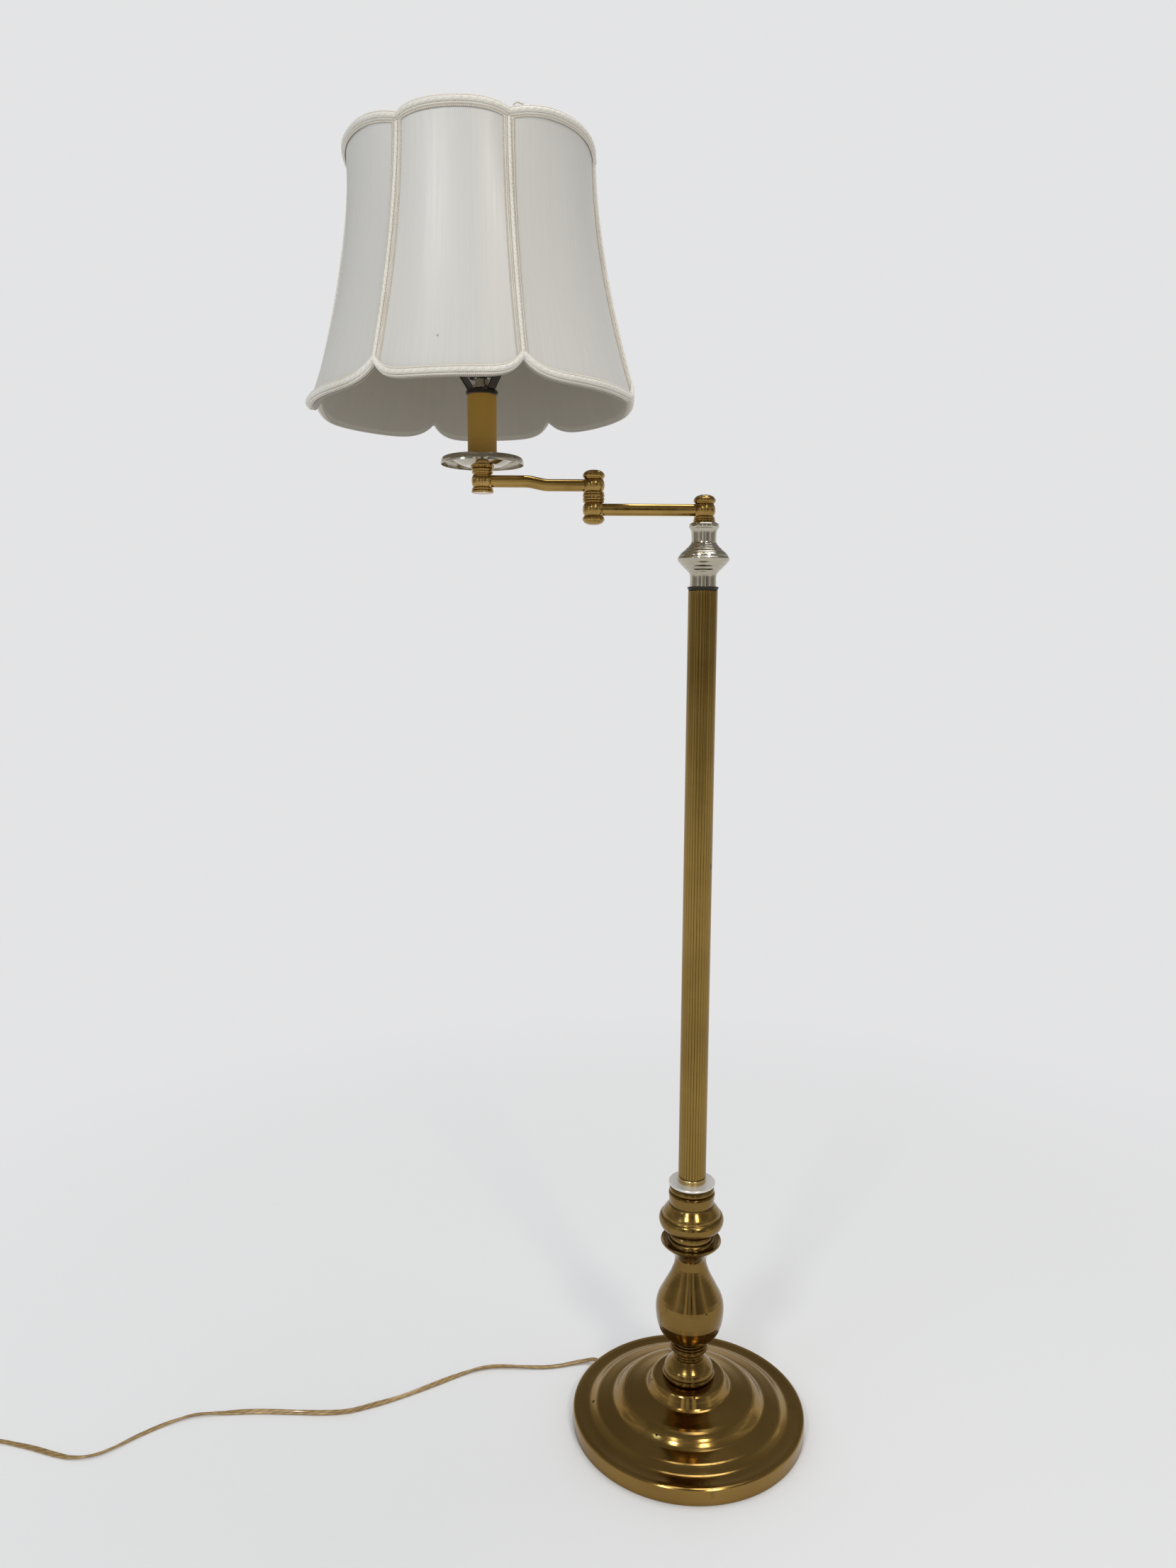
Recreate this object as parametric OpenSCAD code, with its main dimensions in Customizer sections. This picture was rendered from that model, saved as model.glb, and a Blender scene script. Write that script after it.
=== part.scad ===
// Swing-arm floor lamp: turned brass stand, two jointed arms, candle tube and
// a six-panel bell shade. Millimetres, +Z up, origin at the middle of the foot.

/* [Base] */
// Radius of the round base
base_r = 131.5; // [124:0.5:145]
// Height of the base's upright rim
rim_h = 18.5; // [14:0.5:22]
// Height of the base at its middle boss
base_h = 57.5; // [50:0.5:66]
// Radius of the middle boss at its flat top
boss_r = 38; // [35:0.5:42]
// Wall of the spun base shell
shell_t = 1.4; // [1:0.1:2]
// Thickness of the felt under the base
felt_t = 2; // [1.5:0.5:3]
// Radius of the iron weight in the base
weight_r = 116; // [100:1:116]
// Thickness of the iron weight's disc
weight_t = 10; // [6:0.5:11]

/* [Turned stem] */
// Height of the bell-shaped foot on the base
bell_h = 31; // [26:0.5:36]
// Radius of the bell foot's bottom bead
bell_r = 29.6; // [27:0.1:33]
// Height of the ringed collar over the bell foot
collar_h = 12.5; // [10:0.5:15]
// Radius of the collar's fat bead
collar_r = 21.6; // [20.5:0.1:26]
// Height of the baluster, from its foot to its trumpet lip
baluster_h = 120.5; // [105:0.5:135]
// Largest radius of the baluster's belly
baluster_r = 38.4; // [34:0.2:44]
// Radius of the baluster's neck
neck_r = 17.6; // [16:0.2:20]
// Radius of the trumpet lip
lip_r = 33.8; // [30:0.2:37]
// Height of the ring knop
knop_h = 41; // [36:0.5:46]
// Largest radius of the ring knop
knop_r = 36.2; // [33:0.2:40]
// Height of the cup over the knop
cup_h = 22; // [19:0.5:25]
// Largest radius of the cup
cup_r = 25.8; // [24.5:0.1:28]
// Wall of the hollow turned pieces
turned_t = 2.4; // [1.8:0.1:3]

/* [Column] */
// Radius of the round plate under the column
seat_r = 26; // [22:0.2:30]
// Thickness of the round plate under the column
seat_t = 3; // [2:0.25:4]
// Height of the ring that the column stands in
seat_ring_h = 5.8; // [4.5:0.1:7]
// Length of the reeded column
column_len = 644; // [400:1:800]
// Outer radius of the column, over its reeds
column_r = 15.4; // [14.5:0.1:17]
// Inner radius of the column's tube
column_bore_r = 13.2; // [12.8:0.1:13.6]
// Number of reeds round the column
reeds = 30; // [20:2:40]
// Depth of the groove between two reeds
reed_depth = 0.6; // [0.3:0.1:0.9]
// Height of the black ring on the column
black_ring_h = 3.6; // [3:0.2:6]
// Radius of the black ring
black_ring_r = 16.4; // [15.6:0.1:18]
// Height of the double-cone vase under the arms
vase_h = 65.5; // [58:0.5:74]
// Largest radius of the double-cone vase
vase_r = 27; // [24:0.2:30]
// Radius of the vase's two necks
vase_neck_r = 13.2; // [12:0.1:15]

/* [Swing arms] */
// Distance between two swing axes
arm_len = 114.3; // [100:0.1:130]
// Outer radius of the arm tubes
tube_r = 6.2; // [5.6:0.1:6.6]
// Wall of the arm tubes
tube_t = 1; // [0.8:0.1:1.2]
// Radius of the knuckle balls
ball_r = 11.3; // [11:0.1:12]
// Height of a knuckle between its ring and its cap
ball_h = 13.2; // [12.8:0.1:14]
// Radius of the knuckle rings
ring_r = 11.5; // [11.2:0.1:12.4]
// Height of the pair of rings on a knuckle
ring_h = 5.4; // [4.8:0.1:6.5]
// Height of a knuckle cap, over the ball
cap_h = 9; // [8:0.25:10]
// Rise of the upper tube in its double bend
bend_rise = 3.6; // [2.5:0.1:6]
// Radius of each bend along the tube's middle
bend_r = 40; // [30:1:50]
// Angle of each bend in degrees
bend_angle = 12; // [10:1:14]
// Radius of the hollow pivot posts
post_r = 4.2; // [3.8:0.1:4.6]
// Radial running clearance of a knuckle on its post
run_gap = 0.06; // [0.02:0.01:0.09]
// Upright gap between two pieces that turn on each other
face_gap = 0.3; // [0.2:0.05:0.5]

/* [Candle and socket] */
// Radius of the drip pan
pan_r = 42.6; // [36:0.2:48]
// Height of the drip pan, from its seat to its crest
pan_h = 9; // [7:0.25:11]
// Sheet thickness of the drip pan
pan_t = 1; // [0.8:0.1:1.4]
// Outer radius of the candle tube
candle_r = 14.8; // [13:0.1:15.5]
// Wall of the candle tube
candle_t = 1.2; // [0.9:0.1:1.6]
// Length of the candle tube
candle_len = 69; // [55:0.5:90]
// Height of the dark cap ring on the candle tube
candle_cap_h = 5.2; // [4:0.2:7]
// Overhang of the cap ring past the candle tube
candle_cap_lip = 1.4; // [1:0.1:2.5]
// Height of the bright neck under the socket
socket_neck_h = 9.5; // [8:0.25:14]
// Radius of the socket's shell
socket_r = 16.5; // [15.8:0.1:18]
// Height of the socket, cap and shell together
socket_h = 50; // [46:0.5:56]
// Largest radius of the light bulb
bulb_r = 30; // [26:0.5:32]
// Length of the bulb's glass
bulb_len = 84; // [74:0.5:92]

/* [Harp and finial] */
// Distance from the lamp's middle to each harp leg at its foot
harp_foot = 31; // [28:0.5:34]
// Distance from the lamp's middle to each harp leg at its widest
harp_bow = 50; // [44:0.5:58]
// Height of the harp, from its feet to its seat
harp_h = 171; // [160:1:210]
// How far the harp's seat stands to one side of its feet
harp_sway = 9.5; // [0:0.5:14]
// Turn of the harp about the upright, in degrees
harp_turn = -45; // [-90:1:90]
// Radius of the harp's wire
harp_wire_r = 1.7; // [1.4:0.1:2]
// Width of the saddle's strap
strap_w = 9.5; // [8:0.5:13]
// Thickness of the saddle's strap
strap_t = 1.8; // [1.4:0.1:2.4]
// Lift of a harp sleeve to free its leg
sleeve_lift = 9; // [6:0.5:11]
// Height of the finial
finial_h = 24; // [18:0.5:32]
// Radius of the finial
finial_r = 7.5; // [6:0.25:10]

/* [Shade] */
// Height of the shade from seam top to seam bottom
shade_h = 220; // [190:1:250]
// Radius of the shade's top at its seams
shade_top_r = 120.5; // [105:0.5:130]
// Radius of the shade's bottom at its seams
shade_bottom_r = 160.5; // [140:0.5:175]
// How far the front and back panels bulge past their seams at their two edges
panel_bulge = 7; // [3:0.5:12]
// How far the side panels bulge past their seams at their two edges
side_bulge = 1.5; // [0:0.5:8]
// How far a panel's cloth falls in again at mid-height
panel_sag = 6; // [0:0.5:9]
// How far a panel's bottom edge hangs below the seams
scallop_drop = 16.5; // [8:0.5:22]
// How far the front panel's top edge stands over the seams
scallop_rise = 5; // [2:0.5:8]
// Half of the angle that a side panel pair spans at its end seam, in degrees
seam_angle = 65.5; // [58:0.5:67]
// Turn of the shade about the upright, in degrees
shade_turn = -2.5; // [-30:0.5:30]
// Tilt of the shade's two edges to one side, in degrees
shade_tilt = 1.3; // [0:0.1:2.5]
// Power of the bell's flare, where 1 is a straight cone
flare = 1.65; // [1:0.05:2.2]
// Drop of the shade's hub below its top edge
hub_recess = 15; // [8:0.5:22]
// Thickness of the silk cover
silk_t = 0.8; // [0.6:0.1:1.2]
// Thickness of the lining
lining_t = 0.6; // [0.5:0.1:1]
// Radius of the shade's frame wires
wire_r = 1.5; // [1.2:0.1:2]
// Height of the trim round the shade's top
top_trim_h = 8; // [6:0.5:12]
// Height of the trim round the shade's bottom
bottom_trim_h = 6.5; // [5:0.5:10]
// How far the trim stands out from the cover
trim_t = 3.3; // [2.5:0.1:5]
// Width of the braid over each seam
braid_w = 13; // [10:0.5:16]
// Thickness of the braid over each seam
braid_t = 2; // [1:0.1:2.4]

/* [Hidden] */

$fn = 72;

// The shell's foot stays this far over the floor
shell_foot = 0.6;

// Small fits and clearances
seat_gap = 0.1;      // a soft or thin piece over what it covers
slip_gap = 0.15;     // a piece slid over another on the same body
pipe_r = 4.8;
pipe_bore_r = 3.3;
pipe_gap = 0.3;
wire_play = 0.3;

stem_bore = pipe_r + pipe_gap;

// Heights of the stacked stand
bell_z = base_h;
collar_z = bell_z + bell_h;
baluster_z = collar_z + collar_h;
knop_z = baluster_z + baluster_h + 2.5;
cup_z = knop_z + knop_h;
seat_z = cup_z + cup_h;
seat_ring_z = seat_z + seat_t;
column_z = seat_ring_z + seat_ring_h;
black_ring_z = column_z + column_len;
vase_z = black_ring_z + black_ring_h;
knuckle_z = vase_z + vase_h;

// Heights and places of the arms
lower_z = knuckle_z + face_gap + ring_h + ball_h / 2;
split_z = lower_z + ball_h / 2 + ring_h;
upper_z = split_z + face_gap + ring_h + ball_h / 2;
end_z = upper_z + bend_rise;
x2 = -arm_len;
x3 = -2 * arm_len;

// The hollow inside a knuckle, round its post's nut
chamber_r = post_r + 2.6;
nut_r = post_r + 2;
nut_h = 2.6;
tube_end = chamber_r + 0.2;
tube_bore_r = tube_r - tube_t;
arm_wire_r = 2.2;
stem_wire_r = post_r - 1.2 - wire_play;
cap_wall = 1.4;
cap_spigot = 2;

// Heights on the candle
end_neck_h = 8.2;
pan_z = end_z + ball_h / 2 + end_neck_h;
pan_seat_r = candle_r + 1.2;
candle_z = pan_z + pan_t;
candle_top_z = candle_z + candle_len;
cap_top_z = candle_top_z + candle_cap_h;
saddle_z = cap_top_z;
neck_z = saddle_z + strap_t;
socket_z = neck_z + socket_neck_h;
socket_cap_h = 16;
socket_wall = 0.8;
socket_mouth_z = socket_z + socket_h;
knob_z = socket_z + socket_cap_h + 6;
knob_r = 7;
bulb_base_r = 13.1;
bulb_base_h = 24;
bulb_base_z = socket_mouth_z - bulb_base_h - 2;
bulb_z = bulb_base_z + bulb_base_h;

// Places on the harp and the shade
saddle_foot = 15.5;
saddle_bend_z = 19;
saddle_top = 24;
cup_post_h = 7;
cup_post_r = 3.1;
sleeve_h = 14;
harp_rise = saddle_top + cup_post_h + face_gap;
harp_z = saddle_z + harp_rise;
hub_z = harp_z + harp_h;
hub_t = 2;
stud_r = 3.1;
shade_x = x3 - harp_sway;
shade_top_z = hub_z + hub_recess;
shade_bottom_z = shade_top_z - shade_h;

// The cord lies on the floor, at half its width over it
cord_r = 2.8;
cord_angle = 138;
cord_exit_z = 8;
bushing_lip = 1.5;
cord_lie = 2.9;
coil_x = -836;
coil_y = -77;
coil_z = 1;
coil_mid_r = 31;
coil_half = 8.4;
tie_t = 0.8;
exit_r = base_r + bushing_lip;
function along_exit(r) = [r * cos(cord_angle), r * sin(cord_angle), cord_exit_z];
cord_route = [
  along_exit(exit_r), along_exit(exit_r + 4), [-108, 96.5, 6.4], [-114, 98, 4.4], [-122, 97.5, 3.2],
  [-135, 94.5, cord_lie], [-165, 88, cord_lie], [-202, 88, cord_lie], [-237, 86, cord_lie],
  [-265, 76, cord_lie], [-296, 56, cord_lie], [-329, 36, cord_lie],
  [-360, 19, cord_lie], [-390, 6, cord_lie], [-418, 3, cord_lie],
  [-450, 4, cord_lie], [-508, 4, cord_lie], [-560, 0, cord_lie],
  [-590, -13, cord_lie], [-615, -32, cord_lie], [-636, -53, cord_lie],
  [-652, -65, cord_lie], [-673, -69, cord_lie], [-697, -65, cord_lie],
  [-731, -54, cord_lie], [-765, -45, cord_lie], [-800, -40, cord_lie],
  [-822, -40, 3.5]
];
tail_route = [
  [-799, -91, 15], [-790, -101, 12], [-786, -114, 8.5], [-790, -127, 7], [-798, -136, 6.5]
];
plug_at = tail_route[len(tail_route) - 1];
plug_turn = atan2(-9, -8);
plug_len = 28;
plug_w = 23;
plug_h = 12.6;
blade_pitch = 12.7;
blade_t = 1.5;
blade_w = 6.3;
blade_len = 16;
blade_root = 6;

// Curves and lists
function lerp(a, b, t) = a + (b - a) * t;
function unit(v) = v / norm(v);
function last(p) = p[len(p) - 1];
function flip(p) = [for (i = [len(p) - 1:-1:0]) p[i]];
function between(a, b, c, d, t) =
  0.5 * (2 * b + (c - a) * t + (2 * a - 5 * b + 4 * c - d) * t * t
  + (3 * b - a - 3 * c + d) * t * t * t);
// A smooth curve through hand-placed points, with n steps from each to the next
function curve(p, n) = [
  for (i = [0:len(p) - 2]) for (k = [0:n - 1])
    between(p[max(i - 1, 0)], p[i], p[i + 1], p[min(i + 2, len(p) - 1)], k / n),
  last(p)
];
function heading(p, i) = unit(p[min(i + 1, len(p) - 1)] - p[max(i - 1, 0)]);
// An outline moved inwards by a wall, its inside being on the left of its run
function inset(p, wall) = [
  for (i = [0:len(p) - 1]) let (d = heading(p, i)) p[i] + wall * [-d[1], d[0]]
];
function lifted(p, z) = [for (q = p) [q[0], q[1] + z]];
// A half-round bead of an outline, from low to high
function bead(r, z, h, out) = [
  for (a = [-75:30:75]) [r - out + out * cos(a), z + h / 2 + h / 2 * sin(a) / sin(75)]
];

// A solid of revolution from its outline, with a hole for the stem's pipe
module turned(p, bore = stem_bore) {
  rotate_extrude()
    polygon([[bore, p[0][1]], each p, [bore, last(p)[1]]]);
}

// The same with a hollow inside that follows the outline
module turned_hollow(p, wall = turned_t, bore = stem_bore) {
  low = p[0][1] + wall;
  high = last(p)[1] - wall;
  inner = [for (q = inset(p, wall)) if (q[1] > low && q[1] < high && q[0] > bore + 1) q];
  rotate_extrude()
    polygon([
      [bore, p[0][1]], each p, [bore, last(p)[1]],
      [bore, high], each [for (q = flip(inner)) q], [bore, low]
    ]);
}

module ring_solid(outer, inner, h) {
  difference() {
    cylinder(r = outer, h = h);
    translate([0, 0, -1]) cylinder(r = inner, h = h + 2);
  }
}

// A tube or bar along a path; up is the way that its section's second axis leans
module sweep(path, section, up) {
  n = len(section);
  m = len(path);
  rings = [
    for (i = [0:m - 1])
      let (t = heading(path, i), b = unit(cross(up, t)), c = cross(t, b))
      for (s = section) path[i] + s[0] * b + s[1] * c
  ];
  sides = [
    for (i = [0:m - 2]) for (j = [0:n - 1])
      [i * n + j, i * n + (j + 1) % n, (i + 1) * n + (j + 1) % n, (i + 1) * n + j]
  ];
  polyhedron(
    points = rings,
    faces = [
      [for (j = [0:n - 1]) j],
      each [for (f = sides) flip(f)],
      [for (j = [n - 1:-1:0]) (m - 1) * n + j]
    ]
  );
}

function oval(rx, ry, n) = [for (k = [0:n - 1]) [rx * cos(360 * (k + 0.5) / n), ry * sin(360 * (k + 0.5) / n)]];

// ---- Base ----

// Outline of the base from its rim's foot to its boss
function base_outline() =
  let (
    land = rim_h,
    dome = rim_h + (base_h - rim_h) * 0.62,
    valley = rim_h + (base_h - rim_h) * 0.21,
    crest = rim_h + (base_h - rim_h) * 0.16
  )
  concat(
    [[base_r, shell_foot], [base_r, land - 3]],
    [for (a = [0:30:90]) [base_r - 2.6 + 2.6 * cos(a), land - 2.6 + 2.6 * sin(a)]],
    curve([
      [base_r - 6, land + 0.2], [base_r * 0.9, land - 0.3], [base_r * 0.86, land + 0.1],
      [base_r * 0.825, land + 2.6], [base_r * 0.79, crest - 0.5], [base_r * 0.745, crest + 0.8],
      [base_r * 0.695, valley], [base_r * 0.655, valley + 0.9], [base_r * 0.63, valley + 3.6],
      [base_r * 0.6, valley + 8], [base_r * 0.555, dome - 3.8], [base_r * 0.48, dome - 1.9],
      [boss_r + 16, dome], [boss_r + 9.5, dome + 1.6], [boss_r + 6.8, dome + 6],
      [boss_r + 5, base_h - 4.5], [boss_r + 3, base_h - 1.2], [boss_r, base_h]
    ], 3)
  );

module felt_pad() color("#2b2a27")
  cylinder(r = base_r - shell_t - 2, h = felt_t);

module base_weight() color("#3a3a3c")
  rotate_extrude()
    polygon([
      [20, felt_t], [weight_r, felt_t], [weight_r, felt_t + weight_t - 2],
      [weight_r - 2, felt_t + weight_t], [boss_r + 2, felt_t + weight_t],
      [boss_r - 4, felt_t + weight_t + 8], [boss_r - 6, base_h - shell_t],
      [stem_bore, base_h - shell_t], [stem_bore, felt_t + 14], [20, felt_t + 14]
    ]);

module base_washer() color("#8c8c88")
  translate([0, 0, felt_t + 14 - 1.6]) ring_solid(15, pipe_r + slip_gap, 1.6);

module base_nut() color("#8c8c88")
  translate([0, 0, felt_t + 14 - 1.6 - 5])
    difference() {
      cylinder(r = 9.2, h = 5, $fn = 6);
      translate([0, 0, -1]) cylinder(r = pipe_r + slip_gap, h = 7);
    }

module base_shell() color("#7d6326")
  difference() {
    outer = base_outline();
    inner = inset(outer, shell_t);
    rotate_extrude()
      polygon([
        each outer, [stem_bore, base_h], [stem_bore, base_h - shell_t], [boss_r - 1, base_h - shell_t],
        each flip([for (q = inner) if (q[1] < base_h - shell_t - 0.4) [q[0], max(q[1], shell_foot)]])
      ]);
    rotate([0, 0, cord_angle]) translate([base_r - 8, 0, cord_exit_z])
      rotate([0, 90, 0]) cylinder(r = 4.5, h = 16);
  }

module stem_pipe() color("#a08a55")
  translate([0, 0, felt_t + 3])
    ring_solid(pipe_r, pipe_bore_r, knuckle_z - 6 - felt_t - 3);

module stem_wire() color("#5d4a2a")
  translate([0, 0, felt_t + 3]) cylinder(r = stem_wire_r, h = lower_z - felt_t - 3);

// ---- Turned stem ----

module bell_foot() color("#7a5f28")
  translate([0, 0, bell_z])
    turned(concat(
      bead(bell_r, 0, 6, 3),
      [[bell_r - 1.7, 6.6]],
      curve([
        [bell_r - 1.4, 7.4], [bell_r - 3.2, 12], [bell_r - 7.5, 17], [neck_r + 0.8, bell_h * 0.66],
        [neck_r - 0.8, bell_h * 0.71]
      ], 3),
      bead(neck_r - 0.3, bell_h * 0.72, bell_h * 0.12, 1.6),
      [[neck_r - 2, bell_h * 0.87], [neck_r - 2, bell_h]]
    ));

module ringed_collar() color("#6f5724")
  translate([0, 0, collar_z])
    turned(concat(
      [[neck_r - 1.4, 0]],
      bead(collar_r, 0.6, collar_h * 0.5, 3.2),
      [[neck_r + 2.2, collar_h * 0.57]],
      bead(neck_r + 2.6, collar_h * 0.58, collar_h * 0.16, 1),
      [[neck_r + 0.6, collar_h * 0.76]],
      bead(neck_r + 0.8, collar_h * 0.77, collar_h * 0.14, 0.9),
      [[neck_r - 1, collar_h * 0.93], [neck_r - 1, collar_h]]
    ));

// Belly, neck and trumpet lip in one curve
function baluster_outline() =
  let (h = baluster_h, belly = baluster_r, neck = neck_r, lip = lip_r)
  concat(
    curve([
      [neck - 1, 0], [lerp(neck, belly, 0.3), h * 0.028], [lerp(neck, belly, 0.66), h * 0.082],
      [lerp(neck, belly, 0.9), h * 0.175], [belly, h * 0.31], [lerp(neck, belly, 0.91), h * 0.42],
      [lerp(neck, belly, 0.6), h * 0.53], [lerp(neck, belly, 0.27), h * 0.64],
      [lerp(neck, belly, 0.05), h * 0.74], [neck, h * 0.8], [lerp(neck, lip, 0.04), h * 0.835],
      [lerp(neck, lip, 0.2), h * 0.878], [lerp(neck, lip, 0.52), h * 0.925],
      [lerp(neck, lip, 0.86), h * 0.96], [lip - 0.4, h * 0.98]
    ], 3),
    [[lip, h * 0.99], [lip - 0.5, h]]
  );

module baluster() color("#7a5e22")
  translate([0, 0, baluster_z]) {
    p = baluster_outline();
    low = turned_t + 0.6;
    high = baluster_h * 0.9;
    ledge = neck_r + 8;
    inner = [for (q = inset(p, turned_t)) if (q[1] > low && q[1] < high && q[0] > stem_bore + 3) q];
    rotate_extrude()
      polygon([
        [stem_bore, 0], each p,
        [lip_r - 3, baluster_h - 1.4], [ledge + 1, baluster_h - 1.6],
        [ledge, baluster_h + 1.2], [ledge - 1, baluster_h + 2.5], [stem_bore, baluster_h + 2.5],
        [stem_bore, baluster_h - 4], each flip(inner), [stem_bore, low]
      ]);
  }

module ring_knop() color("#765b22")
  translate([0, 0, knop_z]) {
    h = knop_h;
    foot = neck_r + 7.8;
    turned_hollow(concat(
      [[foot - 2, 0], [foot - 1.8, h * 0.03], [foot, h * 0.06], [foot, h * 0.13], [foot - 1, h * 0.17]],
      curve([
        [foot + 0.6, h * 0.2], [lerp(foot, knop_r, 0.55), h * 0.29], [lerp(foot, knop_r, 0.88), h * 0.4],
        [knop_r, h * 0.54], [knop_r - 1.2, h * 0.64], [knop_r - 2.6, h * 0.67]
      ], 3),
      [[knop_r - 3.6, h * 0.68]],
      curve([
        [knop_r - 4.4, h * 0.71], [knop_r - 5, h * 0.77], [knop_r - 7.5, h * 0.86],
        [neck_r + 8.6, h * 0.94], [neck_r + 7, h]
      ], 3)
    ));
  }

module cup() color("#74592a")
  translate([0, 0, cup_z])
    turned_hollow(concat(
      [[cup_r - 1.3, 0], [cup_r - 1, 1.4], [cup_r, cup_h * 0.52], [cup_r - 0.3, cup_h * 0.56], [cup_r - 1.6, cup_h * 0.6]],
      bead(cup_r - 0.9, cup_h * 0.62, cup_h * 0.28, 2.6),
      [[cup_r - 4, cup_h * 0.93], [cup_r - 5, cup_h]]
    ));

module seat_plate() color("#b9b7ae")
  translate([0, 0, seat_z])
    turned(concat(
      [[seat_r - 1, 0], [seat_r, seat_t * 0.35], [seat_r, seat_t * 0.7], [seat_r - 0.6, seat_t]]
    ));

module seat_ring() color("#a9853a")
  translate([0, 0, seat_ring_z])
    turned([
      [column_r - 0.3, 0], [column_r - 0.3, seat_ring_h * 0.42], [column_r - 0.8, seat_ring_h * 0.46],
      [column_r + 0.3, seat_ring_h * 0.56], [column_r + 0.3, seat_ring_h * 0.86],
      [column_r - 0.2, seat_ring_h], [column_bore_r - slip_gap, seat_ring_h],
      [column_bore_r - slip_gap, seat_ring_h + 12]
    ]);

// ---- Column ----

// Convex reeds side by side round the tube
function reeded(r, n, depth) = [
  for (i = [0:n - 1]) for (s = [-1, -0.8, -0.4, 0, 0.4, 0.8])
    let (a = 360 * (i + 0.5 + s / 2) / n, q = r - depth * (1 - sqrt(1 - s * s)))
    [q * cos(a), q * sin(a)]
];

module column() color("#8d7130")
  translate([0, 0, column_z])
    difference() {
      linear_extrude(height = column_len) polygon(reeded(column_r, reeds, reed_depth));
      translate([0, 0, -1]) cylinder(r = column_bore_r, h = column_len + 2);
    }

module black_ring() color("#1c1a17")
  translate([0, 0, black_ring_z])
    rotate_extrude()
      polygon([
        [stem_bore, -10], [column_bore_r - slip_gap, -10], [column_bore_r - slip_gap, 0],
        [column_r - 0.2, 0], [black_ring_r - 0.5, black_ring_h * 0.55], [black_ring_r, black_ring_h * 0.75],
        [black_ring_r, black_ring_h - 0.4], [black_ring_r - 1.2, black_ring_h], [stem_bore, black_ring_h]
      ]);

module top_vase() color("#bcbab2")
  translate([0, 0, vase_z]) {
    h = vase_h;
    neck = vase_neck_r;
    turned_hollow(concat(
      curve([
        [neck + 0.7, 0], [neck + 0.5, h * 0.07], [neck + 0.5, h * 0.16], [neck + 1.9, h * 0.22],
        [lerp(neck, vase_r, 0.58), h * 0.31], [lerp(neck, vase_r, 0.9), h * 0.385],
        [vase_r, h * 0.42], [lerp(neck, vase_r, 0.97), h * 0.45], [lerp(neck, vase_r, 0.8), h * 0.51],
        [lerp(neck, vase_r, 0.45), h * 0.575], [lerp(neck, vase_r, 0.14), h * 0.64],
        [neck - 0.2, h * 0.695], [neck - 0.2, h * 0.82], [neck + 0.4, h * 0.88]
      ], 3),
      bead(neck + 2.4, h * 0.9, h * 0.08, 1.6),
      [[neck - 1, h]]
    ));
  }

// ---- Knuckles and arms ----

// Two beads side by side, low one first; flat where they end
function ring_pair() = concat(
  [[ring_r - 1, 0]],
  bead(ring_r, 0.2, ring_h * 0.5, 1.4),
  bead(ring_r - 0.5, 0.2 + ring_h * 0.52, ring_h * 0.4, 1.1),
  [[ring_r - 1.8, ring_h]]
);

// A knuckle's body about its ball's middle, with its ring pair below
module knuckle_body() {
  flat = ball_h / 2;
  rotate_extrude()
    polygon([
      [0, -flat - ring_h],
      each lifted(ring_pair(), -flat - ring_h),
      each [for (k = [0:10]) let (z = lerp(-flat, flat, k / 10)) [sqrt(ball_r * ball_r - z * z), z]],
      [0, flat]
    ]);
}

// What is bored out of a knuckle: its hollow, and the arm tube's socket to one side
module knuckle_hollow(side) {
  flat = ball_h / 2;
  translate([0, 0, -tube_r]) cylinder(r = chamber_r, h = tube_r + flat + 1);
  rotate([0, side * 90, 0]) translate([0, 0, tube_end])
    cylinder(r = tube_r + 0.05, h = ball_r);
  rotate([0, side * 90, 0]) cylinder(r = tube_bore_r, h = ball_r);
}

// The screwed cap that closes a knuckle
module knuckle_cap() {
  rotate_extrude()
    polygon([
      [chamber_r - slip_gap - cap_wall, -cap_spigot], [chamber_r - slip_gap, -cap_spigot],
      [chamber_r - slip_gap, 0], [ring_r - 1.6, 0], [ring_r - 1.3, 0.5],
      each bead(ring_r, 0.8, cap_h * 0.5, 1.6),
      each curve([
        [ring_r - 1.2, cap_h * 0.62], [ring_r - 2.6, cap_h * 0.78],
        [ring_r * 0.45, cap_h * 0.95], [0.01, cap_h]
      ], 3),
      [0, cap_h], [0, cap_h - cap_wall], [ring_r * 0.4, cap_h - cap_wall - 0.4],
      [chamber_r - slip_gap - cap_wall, cap_h * 0.5]
    ]);
}

module pivot_post(length) {
  ring_solid(post_r, post_r - 1.2, length);
}

module post_nut() {
  difference() {
    cylinder(r = nut_r, h = nut_h, $fn = 6);
    translate([0, 0, -1]) cylinder(r = post_r + 0.05, h = nut_h + 2);
  }
}

column_post_low = knuckle_z - 6;
lower_floor = lower_z - tube_r;
upper_floor = upper_z - tube_r;

module column_post() color("#9c8142")
  translate([0, 0, column_post_low]) {
    pivot_post(lower_floor + face_gap + nut_h + 0.6 - column_post_low);
    ring_solid(stem_bore - 0.05, post_r - 1.2, 6);
  }

module column_post_nut() color("#9c8142")
  translate([0, 0, lower_floor + face_gap]) post_nut();

module lower_knuckle() color("#8a6b28")
  translate([0, 0, lower_z])
    difference() {
      knuckle_body();
      knuckle_hollow(-1);
      translate([0, 0, -30]) cylinder(r = post_r + run_gap, h = 40);
    }

module lower_knuckle_cap() color("#8a6b28")
  translate([0, 0, lower_z + ball_h / 2]) knuckle_cap();

module lower_tube() color("#8f7230")
  translate([-tube_end, 0, lower_z]) rotate([0, -90, 0])
    ring_solid(tube_r, tube_bore_r, arm_len - 2 * tube_end);

module lower_arm_wire() color("#3b2c1c")
  translate([-tube_end, 0, lower_z - tube_bore_r + arm_wire_r + wire_play]) rotate([0, -90, 0])
    cylinder(r = arm_wire_r, h = arm_len - 2 * tube_end);

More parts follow.
